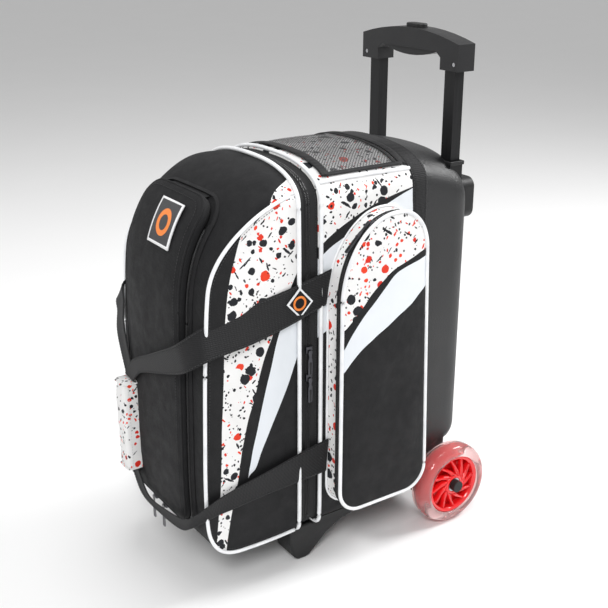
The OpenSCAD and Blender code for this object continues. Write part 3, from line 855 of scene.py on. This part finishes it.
EDGE = smooth([(-0.071, 0.549), (-0.095, 0.5455), (-0.121, 0.536), (-0.147, 0.521), (-0.171, 0.502),
               (-0.190, 0.480), (-0.202, 0.455),
               (-0.2065, 0.425), (-0.2095, 0.380), (-0.2125, 0.330), (-0.2155, 0.250), (-0.2175, 0.180),
               (-0.2165, 0.125),
               (-0.2115, 0.097), (-0.199, 0.077), (-0.180, 0.067), (-0.150, 0.0645), (-0.110, 0.0645),
               (-0.071, 0.0665)], 150)
CROWN = smooth([(-0.071, 0.578), (-0.098, 0.5755), (-0.128, 0.566), (-0.156, 0.547), (-0.180, 0.521),
                (-0.197, 0.491), (-0.2075, 0.458),
                (-0.2125, 0.425), (-0.215, 0.380), (-0.2165, 0.330), (-0.218, 0.250), (-0.219, 0.180),
                (-0.2175, 0.124),
                (-0.2125, 0.093), (-0.199, 0.072), (-0.180, 0.063), (-0.150, 0.061), (-0.110, 0.0615),
                (-0.071, 0.064)], 150)


def front_point(k, x, lift=0.0):
    """Point of the front panel at station k (0..150) and across at x, lifted off it."""
    k0 = min(int(k), 149)
    f = k - k0
    e = EDGE[k0] * (1 - f) + EDGE[k0 + 1] * f
    c = CROWN[k0] * (1 - f) + CROWN[k0 + 1] * f
    a, b = CROWN[max(k0 - 1, 0)], CROWN[min(k0 + 2, 150)]
    t = b - a
    nrm = np.array((t[1], -t[0]))
    nrm /= np.linalg.norm(nrm) or 1
    if nrm[0] > 0.2 or (nrm[0] > -0.3 and nrm[1] < 0 and e[1] > 0.3):
        nrm = -nrm
    g = max(0.0, 1 - abs(x / HALF_W) ** 3.0) ** (1 / 2.6)
    q = e + (c - e) * g + nrm * lift
    return np.array((x, q[0], q[1]))


def station_of(z):
    """Station on the front face where the crown is at height z."""
    ks = np.arange(20, 133)
    return float(np.interp(-z, -CROWN[ks, 1], ks))


def to_ring(P):
    """Draw points near the parting plane in to the rounded outline of the ring."""
    Q = np.array(P, float)
    V = Q.reshape(-1, 3)
    for v in V:
        if v[1] > -0.125 and v[2] > SHOULDER:
            t = min(1.0, (v[1] + 0.125) / 0.048)
            t = t * t * (3 - 2 * t)
            r = (abs(v[0] / 0.1165) ** 2.5 + ((v[2] - SHOULDER) / 0.0482) ** 2.5) ** 0.4
            if r > 1:
                f = 1 - t + t / r
                v[0] *= f
                v[2] = SHOULDER + (v[2] - SHOULDER) * f
    return V.reshape(Q.shape)


a = np.linspace(0, PI, 61)
OPEN_HW = 0.068     # half width of the opening behind the shoe door
XS = np.sort(np.r_[HALF_W * power(np.cos(a), 0.55), -OPEN_HW, OPEN_HW])
KS = np.linspace(0, 150, 151)
P = np.zeros((len(KS), len(XS), 3))
for i, k in enumerate(KS):
    for j, x in enumerate(XS):
        p = front_point(k, x)
        t = 1 - abs(x / HALF_W) ** 4
        P[i, j] = p + np.array((0, -1, 0.3)) * wrinkle(p, 0.0014, 11.0, 3.0) * t * min(1, min(k, 150 - k) / 12)
front = grid("front_panel", to_ring(P), [M["panel"], M["lining"]],
             keep=lambda c: not (abs(c[0]) < OPEN_HW and 0.113 < c[2] < 0.529 and c[1] < -0.14))
outward(front, (0, -0.1, 0.3))
panels = [front]
SIDE_C = np.array((-0.135, 0.31))   # middle of a side panel, as Y and Z
for s in (1, -1):
    ring = np.vstack([EDGE, smooth([EDGE[-1], (-0.071, 0.3), EDGE[0]], 50)[1:-1]])
    R = np.linspace(0, 1, 26) ** 0.8
    P = np.zeros((len(ring), len(R), 3))
    for i, e in enumerate(ring):
        for j, r in enumerate(R):
            q = SIDE_C + (e - SIDE_C) * r
            w = 0.0024 * (1 - r ** 4) ** 0.8
            w += wrinkle((0.1 * s, q[0], q[1]), 0.0022, 12.0, 7.0) * (1 - r ** 6)
            P[i, j] = (s * (HALF_W + max(w, -0.001)), q[0], q[1])
    side = grid("side_panel", to_ring(P), [M["front"], M["lining"]], closed_u=True)
    fix_normals(side)
    outward(side, (0, -0.135, 0.31))
    panels.append(thicken(side, 0.003, 1))
panels[0] = thicken(front, 0.003, 1)
front = join("front_section_shell", panels)
put(front, "front_section", "black_fabric", "lid_shell")

cords = []
for s in (1, -1):
    path = np.stack([np.full(151, s * 0.1168), EDGE[:, 0] - 0.0004, EDGE[:, 1]], 1)
    cords.append(tube("side_cord", to_ring(path)[3:-2], 0.0025, M["piping"], n=12))
put(join("front_side_piping", cords), "front_section", "white_piping", "lid_piping")
seams = []
for s in (1, -1):
    e = SIDE_C + (EDGE - SIDE_C) * (1 - 0.006 / np.linalg.norm(EDGE - SIDE_C, axis=1))[:, None]
    path = to_ring(np.stack([np.full(151, s * 0.1180), e[:, 0], e[:, 1]], 1))
    seams.append(stitches("seam", path[6:-4], M["thread"]))
put(join("front_seam_stitches", seams), "front_section", "black_fabric")

# raised shoe door with its gusset, zipper and seams
K0, K1 = station_of(0.5405), station_of(0.1035)
HW = 0.078


def door_outline(grow, r=0.028):
    """Rounded rectangle in (x, station) space measured as lengths along the crown."""
    s = np.r_[0, np.cumsum(np.linalg.norm(np.diff(CROWN, axis=0), axis=1))]
    s0, s1 = np.interp(K0, KS, s) - grow, np.interp(K1, KS, s) + grow
    hw, r = HW + grow, r + grow
    pts = []
    for cx, cs, a0 in ((hw - r, s0 + r, -90), (hw - r, s1 - r, 0), (-hw + r, s1 - r, 90), (-hw + r, s0 + r, 180)):
        for a in np.linspace(a0, a0 + 90, 16):
            c, d = turn(a)
            pts.append((cx + r * c, cs + r * d))
    pts.append(pts[0])
    q = even(np.array(pts), 200)[:-1]
    return q[:, 0], np.interp(q[:, 1], s, KS)


def relief(k, lift):
    """The door stands out more at its top."""
    return lift * (1 + 0.45 * max(0.0, 1 - max(0.0, k - K0) / 45) * (lift > 0.0035))


def door_ring(grow, lift):
    xs, ks = door_outline(grow)
    return np.array([front_point(k, x, relief(k, lift)) for x, k in zip(xs, ks)])


mid_k = 0.5 * (K0 + K1)
rings = [door_ring(g, l) for g, l in ((-0.0015, 0.0015), (0.0, 0.004), (0.0, 0.0075), (-0.0012, 0.0096),
                                      (-0.004, 0.0112), (-0.009, 0.0122))]
xs0, ks0 = door_outline(-0.009)
for f in (0.93, 0.85, 0.75, 0.62, 0.48, 0.32, 0.16, 0.06, 0.0):
    ring = []
    for x, k in zip(xs0, ks0):
        xx, kk = x * f, mid_k + (k - mid_k) * f
        p = front_point(kk, xx, relief(kk, 0.0122 + 0.0028 * (1 - f ** 3)))
        ring.append(p + np.array((0, -1, 0)) * wrinkle(p, 0.0026, 13.0, 11.0) * (1 - f))
    rings.append(np.array(ring))
door_face = grid("door_face", np.stack(rings, 1), [M["black"], M["lining"]], closed_u=True)
fix_normals(door_face)
outward(door_face, (0, -0.1, 0.3))
back_rings = [door_ring(-0.0015, 0.0015)]
for f in (0.9, 0.6, 0.3, 0.0):
    back_rings.append(np.array([front_point(mid_k + (k - mid_k) * f, x * f, 0.0015)
                                for x, k in zip(*door_outline(-0.0015))]))
door_back = grid("door_back", np.stack(back_rings, 1), [M["lining"]], closed_u=True)
seam = door_ring(-0.0105, 0.0128)
door_seam = stitches("door_seam", np.vstack([seam, seam[:1]]), M["thread"])
roll = tube("door_roll", door_ring(-0.0022, 0.0100), 0.0017, M["black"], closed=True, n=8)
door = join("shoe_door_panel", [door_face, door_back, roll, door_seam])
fix_normals(door)
put(door, "shoe_door", "black_fabric", "shoe_flap")


ZIP_END = 0.517     # height at which the shoe zipper stops, below the hinge


def door_strip(name, g0, g1, l0, l1, mat, end):
    rows = [door_ring(g0 + (g1 - g0) * t, l0 + (l1 - l0) * t) for t in np.linspace(0, 1, 5)]
    return sheet(name, np.stack(rows, 1), mat, (0, -0.1, 0.3), 0.0009, closed_u=True, keep=lambda c: c[2] < end)


tape = door_strip("shoe_zip_tape", 0.0012, 0.0075, 0.0012, 0.0030, M["tape"], ZIP_END)
edging = door_strip("shoe_zip_edging", 0.0070, 0.0118, 0.0034, 0.0008, M["black"], 9)
path = np.array([front_point(k, x, 0.0030) for x, k in zip(*door_outline(0.0030))])
start = max(range(len(path)), key=lambda i: path[i][2] + (path[i][0] > 0) * 0.0001)
order = np.array([p for p in np.roll(path, -start, 0) if p[2] < ZIP_END])
coil = tube("shoe_zip_coil", order, 0.0016, M["coil"], n=8)
put(join("shoe_zip", [tape, edging, coil]), "front_section", "zip_tape", "shoe_zip_tape")

# fabric fold at the door's hinge, along its top edge
xs = np.linspace(-0.048, 0.048, 30)
BEND = ((-1.6, 0.0004), (-1.2, 0.0016), (-0.7, 0.0034), (-0.2, 0.0056), (0.4, 0.0080))
P = np.array([[front_point(K0 + u, x, l) for u, l in BEND] for x in xs])
fold = sheet("shoe_door_fold", P, M["black"], (0, -0.1, 0.3), 0.0012)
a = front_point(K0 - 1.4, 0, 0.001)
b = front_point(K0 + 0.4, 0, 0.006)
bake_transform(fold)

BADGE_X = 0.018
kb = station_of(0.502)
P = np.zeros((24, 24, 3))
for i, u in enumerate(np.linspace(-1, 1, 24)):
    for j, w in enumerate(np.linspace(-1, 1, 24)):
        x = BADGE_X + 0.028 * u
        P[i, j] = front_point(kb + w * 5.6, x, relief(kb + w * 5.6, 0.0122 + 0.0028) + 0.0016)
zs = P[:, :, 2]
badge_mat = m_badge(BADGE_X, float(zs[12, 11:13].mean()), float(zs.max() - zs.min()) / 2)
badge = sheet("badge_plate", P, badge_mat, (0, -0.1, 0.3), 0.0022)
put(badge, "shoe_door", "badge", "flap_emblem")

# divider, with a quilted face
o = body_outline(-0.0040)
mid = np.array((0.0, 0.32))
faces = []
for side_y, sign in ((-0.0668, 1), (-0.0702, -1)):
    rows = []
    for f in (1.0, 0.985, 0.96, 0.92, 0.86, 0.78, 0.68, 0.56, 0.42, 0.26, 0.12, 0.0):
        q = mid + (o - mid) * f
        quilt = np.abs(np.sin(q[:, 0] * 42) * np.sin(q[:, 1] * 30))
        y = side_y + sign * (0.0014 * (1 - f ** 10) + 0.0012 * quilt * (1 - f ** 6)) - sign * 0.0015 * (f > 0.99)
        rows.append(np.stack([q[:, 0], y, q[:, 1]], 1))
    faces.append(grid("divider_face", np.stack(rows, 1), M["lining"], closed_u=True))
    outward(faces[-1], (0, -0.0685, 0.32))
div = join("front_divider_pad", faces)
fix_normals(div)
put(div, "front_section", "foam", "lid_divider")

# bottom fabric between the front section and the rest, laid with a small ripple
P = np.array([[(x, y, 0.0672 + 0.0006 * math.sin(u * 9)) for u, y in enumerate(np.linspace(-0.048, -0.098, 12))]
              for x in np.linspace(-0.106, 0.106, 40)])
fold = thicken(grid("bottom_fold", P, M["lining"]), 0.0014)
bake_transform(fold)

# ---- Foam base ---------------------------------------------------------------

foam = soften("foam_ball_base", "foam_cups", 0, M["lining"], remesh=0.006, relax=5)
put(foam, "bag", "foam")

# ---- Side pocket -------------------------------------------------------------


# the pocket's four corner arcs: centre, radii, first and last angle, points
POCKET = ((0.060, 0.400, 0.086, 0.113, 180, 90, 30), (0.064, 0.455, 0.049, 0.058, 90, 0, 20),
          (0.090, 0.124, 0.035, 0.035, 0, -90, 14), (0.008, 0.124, 0.034, 0.035, 270, 180, 14))


def pocket_ring(x, d):
    """The pocket's outline at x, grown by d."""
    pts = []
    for cy, cz, ry, rz, a0, a1, k in POCKET:
        for a in np.linspace(a0, a1, k):
            c, s = turn(a)
            pts.append((cy + (ry + d) * c, cz + (rz + d) * s))
    pts.append(pts[0])
    return np.array([(x, y, z) for y, z in even(np.array(pts), 260)[:-1]])


rows = []
for t in np.linspace(0, 1, 14):
    x = 0.1165 + 0.0205 * t
    r = pocket_ring(x, 0.0)
    c = np.array((0, 0.045, 0.31))
    for i in range(len(r)):
        v = r[i] - c
        v[0] = 0
        v /= np.linalg.norm(v)
        r[i] += v * (wrinkle(r[i], 0.0016, 16.0, 5.0) - 0.0014) * math.sin(PI * t)
    rows.append(r)
gus = grid("pocket_gusset_band", np.stack(rows, 1), [M["paint"], M["lining"]], closed_u=True)
fix_normals(gus)
outward(gus, (0.13, 0.045, 0.3))
gus = thicken(gus, 0.0028, 1)
under = tube("inner_cord", pocket_ring(0.1185, 0.0016), 0.0018, M["piping"], closed=True, n=8)
put(join("pocket_gusset_band", [gus, under]), "bag", "print_fabric", "pocket_gusset")
TAPE = ((0.1366, 0.0002), (0.1380, -0.0004), (0.1410, -0.0016), (0.1440, -0.0020), (0.1458, -0.0030))
tape = sheet("pocket_tape", np.stack([pocket_ring(x, d) for x, d in TAPE], 1), M["tape"], (0.144, 0.045, 0.3), 0.001,
             closed_u=True)
coil = tube("pocket_coil", pocket_ring(0.1424, -0.0008), 0.0015, M["coil"], closed=True, n=8)
put(join("pocket_zip_band", [tape, coil]), "bag", "zip_tape", "pocket_zip_tape")

RIM = ((0.1466, -0.0015), (0.1484, -0.0008), (0.1502, -0.0018), (0.1518, -0.0050))
rows = [pocket_ring(x, d) for x, d in RIM]
c = np.array((0, 0.046, 0.30))
base = pocket_ring(0.0, -0.0050)
for f in (0.95, 0.88, 0.78, 0.66, 0.52, 0.36, 0.20, 0.08, 0.0):
    r = c + (base - c) * f
    for i in range(len(r)):
        dome = 0.1518 + 0.0036 * (1 - f ** 3) + wrinkle((0, r[i][1], r[i][2]), 0.0024, 14.0, 2.0) * (1 - f ** 4)
        r[i][0] = min(dome, 0.1572)
    rows.append(r)
face = grid("pf", np.stack(rows, 1), [M["pocket"]], closed_u=True)
fix_normals(face)
outward(face, (0.13, 0.045, 0.3))
rows = [pocket_ring(0.1466, -0.0015)]
rows += [c * (1 - f) + pocket_ring(0.1478, -0.0035) * f + np.array((0.1478 * (1 - f), 0, 0)) for f in (1, 0.6,
                                                                                                       0.3, 0.0)]
inside = grid("pocket_inside", np.stack(rows, 1), [M["lining"]], closed_u=True)
face = join("pocket_face_panel", [face, inside])
put(face, "pocket_door", "black_fabric", "pocket_flap")
put(tube("pocket_piping_cord", pocket_ring(0.1500, 0.0004), 0.0027, M["piping"], closed=True, n=12),
    "pocket_door", "white_piping", "pocket_piping")
# hinge fold along the pocket's rear edge
HINGE = ((0.1405, 0.0002), (0.143, 0.0010), (0.1455, 0.0014), (0.148, 0.0012), (0.1496, 0.0006))
P = [[(x, 0.113 + 0.012 * (0.455 - z) / 0.331 + o, z) for x, o in HINGE] for z in np.linspace(0.130, 0.450, 50)]
fold = thicken(grid("pocket_hinge_fold", np.array(P), M["tape"]), 0.0008)
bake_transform(fold)

# ---- Straps ------------------------------------------------------------------


def strap(side, level, C, W, N, extra=()):
    """Webbing through the points C (mm), with half widths W (mm) and outward normals N."""
    if side == "left":
        C, W, N = (np.array(v, float) * (-1, 1, 1) for v in (C, W, N))
    C, W, N = (smooth(np.array(v, float) / unit, 90) for v, unit in ((C, 1000), (W, 1000), (N, 1)))
    P = np.zeros((len(C), 26, 3))
    for i in range(len(C)):
        nn = N[i] / np.linalg.norm(N[i])
        for j in range(13):
            t = -1 + 2 * j / 12
            e = 0.0010 * math.sqrt(max(0.0, 1 - t ** 8)) + 0.0002
            m = C[i] + W[i] * t + nn * (0.0010 + 0.0010 * t * t)
            P[i, j] = m + nn * e
            P[i, 25 - j] = m - nn * e
    name = f"strap_{side}_{level}"
    parts = [grid(name, P, M["web"], closed_v=True, caps=True)]
    for t in (-0.88, 0.88):
        row = C + W * t + N / np.linalg.norm(N, axis=1)[:, None] * 0.0030
        parts.append(stitches("strap_stitches", row, M["thread"]))
    ob = join(name + "_web", parts + list(extra))
    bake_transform(ob)
    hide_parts(name)


X0 = 120.4                                  # the straps' distance from the middle, at the bag's side
WX, WY, Z0, Z1 = -62, -240, 136, 272        # the grip wrap's middle, and its lower and upper end
UP, LO = (0, 4.5, 24.6), (0, 2.0, 24.9)     # half widths of an upper and a lower strap at the bag's side
# small plain patch on the strap, near the main zipper
PATCH_C = np.array((0.1228, -0.076, 0.4075))
PATCH = ((-0.019, 0.001), (0.001, 0.021), (0.021, -0.001), (0.001, -0.021))


def patch_plate(name, scale, x0, x1, mat):
    V = [PATCH_C + scale * np.array((0.0, a, b)) for a, b in PATCH]
    return new_mesh(name, [v + np.array((dx, 0, 0)) for dx in (x0, x1) for v in V],
                    [(3, 2, 1, 0), (4, 5, 6, 7), (0, 1, 5, 4), (1, 2, 6, 5), (2, 3, 7, 6), (3, 0, 4, 7)], mat, False)


patch = [patch_plate("patch_rim", 1.0, 0.0, 0.0014, M["piping"]),
         patch_plate("patch_field", 0.82, 0.001, 0.0019, M["black"])]
circle = [PATCH_C + np.array((0.0021, 0.0085 * math.cos(q), 0.0085 * math.sin(q)))
          for q in np.linspace(0, 2 * PI, 33)[:-1]]
n = Nodes("orange_thread")
orange = n.done(n.mix(n.noise(500, 2), (0.7, 0.16, 0.015), (0.9, 0.26, 0.03)), 0.5,
                n.bump(n.noise(1500, 2), 0.3, 0.0002))
patch.append(tube("patch_ring", circle, 0.0016, orange, closed=True, flat=0.5, normal=(1, 0, 0)))

UP_C = [(X0, -29, 420), (X0, -100, 402), (X0, -190, 386)]
LO_C = [(X0, -29, 172), (X0, -100, 163), (X0, -190, 150)]
TO_FRONT = [(1, 0, 0), (1, 0, 0), (1, -0.05, 0), (0.9, -0.4, 0), (0.3, -0.95, 0), (0, -1, 0), (0, -1, 0)]
strap("right", "upper",
      UP_C + [(X0, -216, 380), (X0 - 12, -233, 367), (85, -237, 353), (30, -238, 329), (WX + 34, -238, 303),
              (WX + 3, WY + 4, Z1 + 3)],
      [UP] * 4 + [(-4, 0, 24), (-7, 0, 23.5), (-8, 0, 22), (-10, 0, 15), (-13, 0, 2)],
      TO_FRONT + [(0, -1, 0.3), (0, -1, 0)], patch)
strap("right", "lower",
      LO_C + [(X0, -216, 144), (X0 - 12, -233, 130), (85, -237, 116), (30, -238, 107), (WX + 38, -238, 106),
              (WX + 3, WY + 4, Z0 - 3)],
      [LO] * 4 + [(2, 0, 24), (3, 0, 20), (2, 0, 16), (7, 0, 12), (13, 0, 1)], TO_FRONT + [(0, -1, 0), (0, -1, 0)])
strap("left", "upper",
      UP_C + [(X0, -214, 380), (X0 - 12, -220, 363), (92, -229, 332), (-WX - 3, WY + 6, Z1 + 3)],
      [UP] * 4 + [(-4, 0, 24), (-12, 0, 21), (-13, 0, 2)], TO_FRONT)
strap("left", "lower",
      LO_C + [(X0, -214, 144), (X0 - 12, -220, 129), (92, -229, 118), (-WX - 3, WY + 6, Z0 - 3)],
      [LO] * 4 + [(3, 0, 24), (8, 0, 17), (13, 0, 2)], TO_FRONT)

# padded grip wrap
wx, wy = WX / 1000, WY / 1000


def wrap_offset(q):
    """A point of the wrap's rounded square section, from its middle."""
    return 0.0155 * power(math.cos(q), 0.42), 0.0135 * power(math.sin(q), 0.42)


rows = []
for t in np.linspace(0, 1, 40):
    z = 0.136 + 0.136 * t
    k = 1 - 0.10 * abs(2 * t - 1) ** 6
    ring = []
    for q in np.linspace(0, 2 * PI, 48, endpoint=False):
        x, y = (k * v for v in wrap_offset(q))
        p = np.array((wx + x, wy + y, z))
        w = wrinkle(p, 0.0016, 40.0, 1.0)
        ring.append(p + w * np.array((x, y, 0)) / max(1e-6, math.hypot(x, y)))
    rows.append(ring)
wrap = grid("wrap", np.array(rows), M["paint"], closed_v=True, caps=True)
edge = []
for z in (0.1385, 0.2695):
    around = [(wx + x, wy + y, z) for x, y in map(wrap_offset, np.linspace(0, 2 * PI, 49)[:-1])]
    edge.append(tube("wrap_edge", around, 0.0012, M["paint"], closed=True, n=6))
P = np.array([[(wx - 0.0155 - 0.0125 * u, wy + 0.0012 * math.sin(3 * u), 0.1925 + v)
               for v in np.linspace(-0.0125, 0.0125, 6)] for u in np.linspace(-0.3, 1, 8)])
tab = thicken(grid("wrap_tab", P, M["black"]), 0.0016)
seam = stitches("wrap_seam", [(wx + 0.0158, wy - 0.006, z) for z in np.linspace(0.142, 0.266, 40)], M["white_thread"])
wrap = join("grip_wrap", [wrap, tab, seam] + edge)
put(wrap, "carry_handle", "print_fabric", "handle_wrap")

# ---- Wheels ------------------------------------------------------------------

AY, AZ = 0.1905, 0.0635     # the axle


# half profiles as (distance along the axle, radius)
RIM_P = [(-0.0135, 0.0462), (0.0135, 0.0462), (0.0142, 0.0445), (0.0132, 0.0410), (0.006, 0.0400), (-0.006, 0.0400),
         (-0.0132, 0.0410), (-0.0142, 0.0445)]
HUB_P = [(-0.0155, 0.0112), (-0.0155, 0.0150), (-0.012, 0.0165), (0.012, 0.0165), (0.0150, 0.0155), (0.0158, 0.0130),
         (0.0158, 0.0112), (0.004, 0.0086), (-0.004, 0.0086)]
WEB_P = [(-0.0018, 0.015), (-0.0018, 0.0415), (0.0018, 0.0415), (0.0018, 0.015)]
BAND_P = [(-0.0105, 0.0464), (0.0105, 0.0464), (0.0100, 0.0474), (-0.0100, 0.0474)]
TYRE_P = [(-0.0125, 0.0463)]
for q in np.linspace(-PI * 0.5, PI * 0.5, 22):
    TYRE_P.append((0.0166 * power(math.sin(q), 0.72), 0.0468 + 0.0166 * abs(math.cos(q)) ** 0.62))
TYRE_P.append((0.0125, 0.0463))


def wheel(side):
    s = 1 if side == "right" else -1
    x0 = 0.1333 * s

    def part(name, prof, mat, n=72):
        return lathe_x(name, [(s * a, b) for a, b in prof], x0, AY, AZ, M[mat], n)

    parts = [part("rim", RIM_P, "red"), part("hub", HUB_P, "red")]
    for j in range(12):
        a0 = 2 * PI * j / 12
        for twist, lead, w in ((0.62, 0.0, 0.0024), (0.40, 0.20, 0.0019)):
            pts = []
            for t in np.linspace(0, 1, 9):
                r = 0.0155 + 0.0255 * t
                an = a0 + twist * math.sin(PI * t * 0.5) + lead
                pts.append((x0 + s * 0.0105 * (1 - 0.35 * t), AY + r * math.cos(an), AZ + r * math.sin(an)))
            parts.append(tube("spoke", pts, w, M["red"], n=8, flat=2.4, normal=(1, 0, 0)))
    core = join("wheel_core_" + side + "_red", parts + [part("web", WEB_P, "red")])
    fix_normals(core)
    put(core, "wheel_" + side, "red_plastic", "wheel_core_" + side)
    put(part("wheel_tyre_" + side, TYRE_P, "clear", 96), "wheel_" + side, "clear_urethane", "tyre_" + side)
    put(part("wheel_band_" + side, BAND_P, "red"), "wheel_" + side, "red_plastic")
    paint_node("bearings_" + side, "zinc")


wheel("right")
wheel("left")

# ---- Hard parts carried over from the CAD model --------------------------------

for node, mat in (("base_plate", "plastic"), ("wheel_chassis", "plastic"), ("axle", "zinc"), ("guide_tubes", "tube"),
                  ("guide_tube_bracket", "plastic"), ("middle_tubes", "tube"), ("upper_tubes", "tube"),
                  ("release_rods", "zinc"), ("back_liner", "board")):
    paint_node(node, mat)
for node, tail, w, mat, body in (
        ("front_feet", "_moulded", 0.0035, "plastic", "bag"), ("back_bracket", "_moulded", 0.0030, "plastic", "bag"),
        ("tube_collars", "_moulded", 0.0012, "plastic", "bag"), ("axle_caps", "_moulded", 0.0014, "plastic", "bag"),
        ("grip_cover", "_moulded", 0.0042, "grip", "handle_upper"),
        ("grip_insert", "_moulded", 0.0030, "grip", "handle_upper"),
        ("grip_screws", None, 0.0005, "zinc", "handle_upper"),
        ("release_button", "_cap", 0.0016, "plastic", "release")):
    put(soften(node, node + tail if tail else "grip_screw_heads", w, M[mat]), body,
        "black_plastic" if tail else "steel")

# ---- Zip sliders and pulls -----------------------------------------------------

for zip_name in ("main_{}_a", "main_{}_b", "shoe_{}_a", "shoe_{}_b", "pocket_{}"):
    node = zip_name.format("slider")
    put(soften(node, node + "_cast", 0.0011, M["dark"]), zip_name.format("zip"), "dark_metal")


def pull(node, body, mat, tip, slot):
    """A pull: a small frame at the slider and a plate below it, shaped inside the CAD bar."""
    co = np.array([v.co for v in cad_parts[node].data.vertices])
    c = co.mean(0)
    axes = np.linalg.svd(co - c, full_matrices=False)[2]
    L, W, T = (v * np.abs((co - c) @ v).max() for v in axes)
    if L[2] < 0:
        L = -L
    half = [(1.0, 0.55), (0.96, 0.80), (0.80, 0.92), (0.55, 0.62), (0.40, 0.62), (0.25, 0.95), (-0.85, 1.0),
            (-0.97, 0.8), (-1.0, 0.4)]
    pts = half + [(a, -b) for a, b in half[::-1]]
    n = len(pts)
    V = [c + L * a + W * b + T * t for t in (-0.8, 0.8) for a, b in pts]
    F = [tuple(range(n - 1, -1, -1)), tuple(range(n, 2 * n))]
    F += [(i, (i + 1) % n, n + (i + 1) % n, n + i) for i in range(n)]
    ob = new_mesh(node + "_plate", V, F, M[mat], False)
    fix_normals(ob)
    m = ob.modifiers.new("b", "BEVEL")
    m.width, m.segments, m.limit_method = 0.0004, 2, "ANGLE"
    apply_modifiers(ob)
    P = np.zeros((14, 12, 3))
    for i, a in enumerate(np.linspace(-0.92, 0.05, 14)):
        w = (0.80 + 0.12 * math.cos(a * 5)) * (1 if 0 < i < 13 else 0.7)
        for j in range(12):
            q = 2 * PI * j / 12
            P[i, j] = c + L * a + W * w * math.cos(q) + T * math.sin(q)
    cover = grid(node + "_tip", P, M[tip], closed_v=True, caps=True)
    return put(join(node + "_cast", [ob, cover]), body, slot, node)


for end in ("a", "b"):
    pull("main_pull_" + end, "main_tab_" + end, "dark", "plastic", "dark_metal")
for end in ("a", "b"):
    pull("shoe_pull_" + end, "shoe_tab_" + end, "nickel", "dark", "dark_metal")
pull("pocket_pull", "pocket_tab", "dark", "web", "black_webbing")

# ---- Floor, light and camera ---------------------------------------------------

bpy.ops.mesh.primitive_plane_add(size=60, location=(0, 0, -0.0005))
floor = bpy.context.object
floor.name = "floor"
fn = Nodes("floor_paper")
fn.done(fn.mix(fn.noise(3, 2), (0.90, 0.90, 0.90), (0.92, 0.92, 0.92)), 0.75)
floor.data.materials.append(fn.mat)

scene = bpy.context.scene
world = bpy.data.worlds.new("studio")
scene.world = world
world.use_nodes = True
background = world.node_tree.nodes["Background"]
background.inputs[0].default_value = (1.0, 1.0, 1.0, 1)
background.inputs[1].default_value = 0.50


def area(name, loc, target, size, power):
    l = bpy.data.lights.new(name, "AREA")
    l.shape, l.size, l.energy = "DISK", size, power
    o = bpy.data.objects.new(name, l)
    o.location = loc
    o.rotation_euler = (Vector(target) - Vector(loc)).to_track_quat("-Z", "Y").to_euler()
    scene.collection.objects.link(o)


area("key", (1.9, -1.5, 2.2), (0, 0, 0.3), 1.0, 42)
area("fill", (-2.0, -1.7, 1.5), (0, 0, 0.35), 2.0, 10)
area("rim", (0.6, 2.0, 1.9), (0, 0.1, 0.4), 1.0, 48)
area("top", (0, 0, 2.6), (0, 0, 0.3), 1.2, 20)

FOCAL, FRAME_W = 1010.7, 608        # focal length and picture width, in the same unit
EYE = (1.1328, -0.7495, 0.8674)
AZI, ELE = math.radians(56.0), math.radians(20.8)
cam = bpy.data.cameras.new("camera")
cam.sensor_width, cam.lens = 36, FOCAL / FRAME_W * 36
cam.clip_start = 0.02
co = bpy.data.objects.new("camera", cam)
scene.collection.objects.link(co)
fwd = Vector((-math.sin(AZI) * math.cos(ELE), math.cos(AZI) * math.cos(ELE), -math.sin(ELE)))
side = Vector((math.cos(AZI), math.sin(AZI), 0))
up = side.cross(fwd)
co.matrix_world = Matrix([(side[i], up[i], -fwd[i], EYE[i]) for i in range(3)] + [(0, 0, 0, 1)])
scene.camera = co
scene.view_settings.view_transform = "Standard"
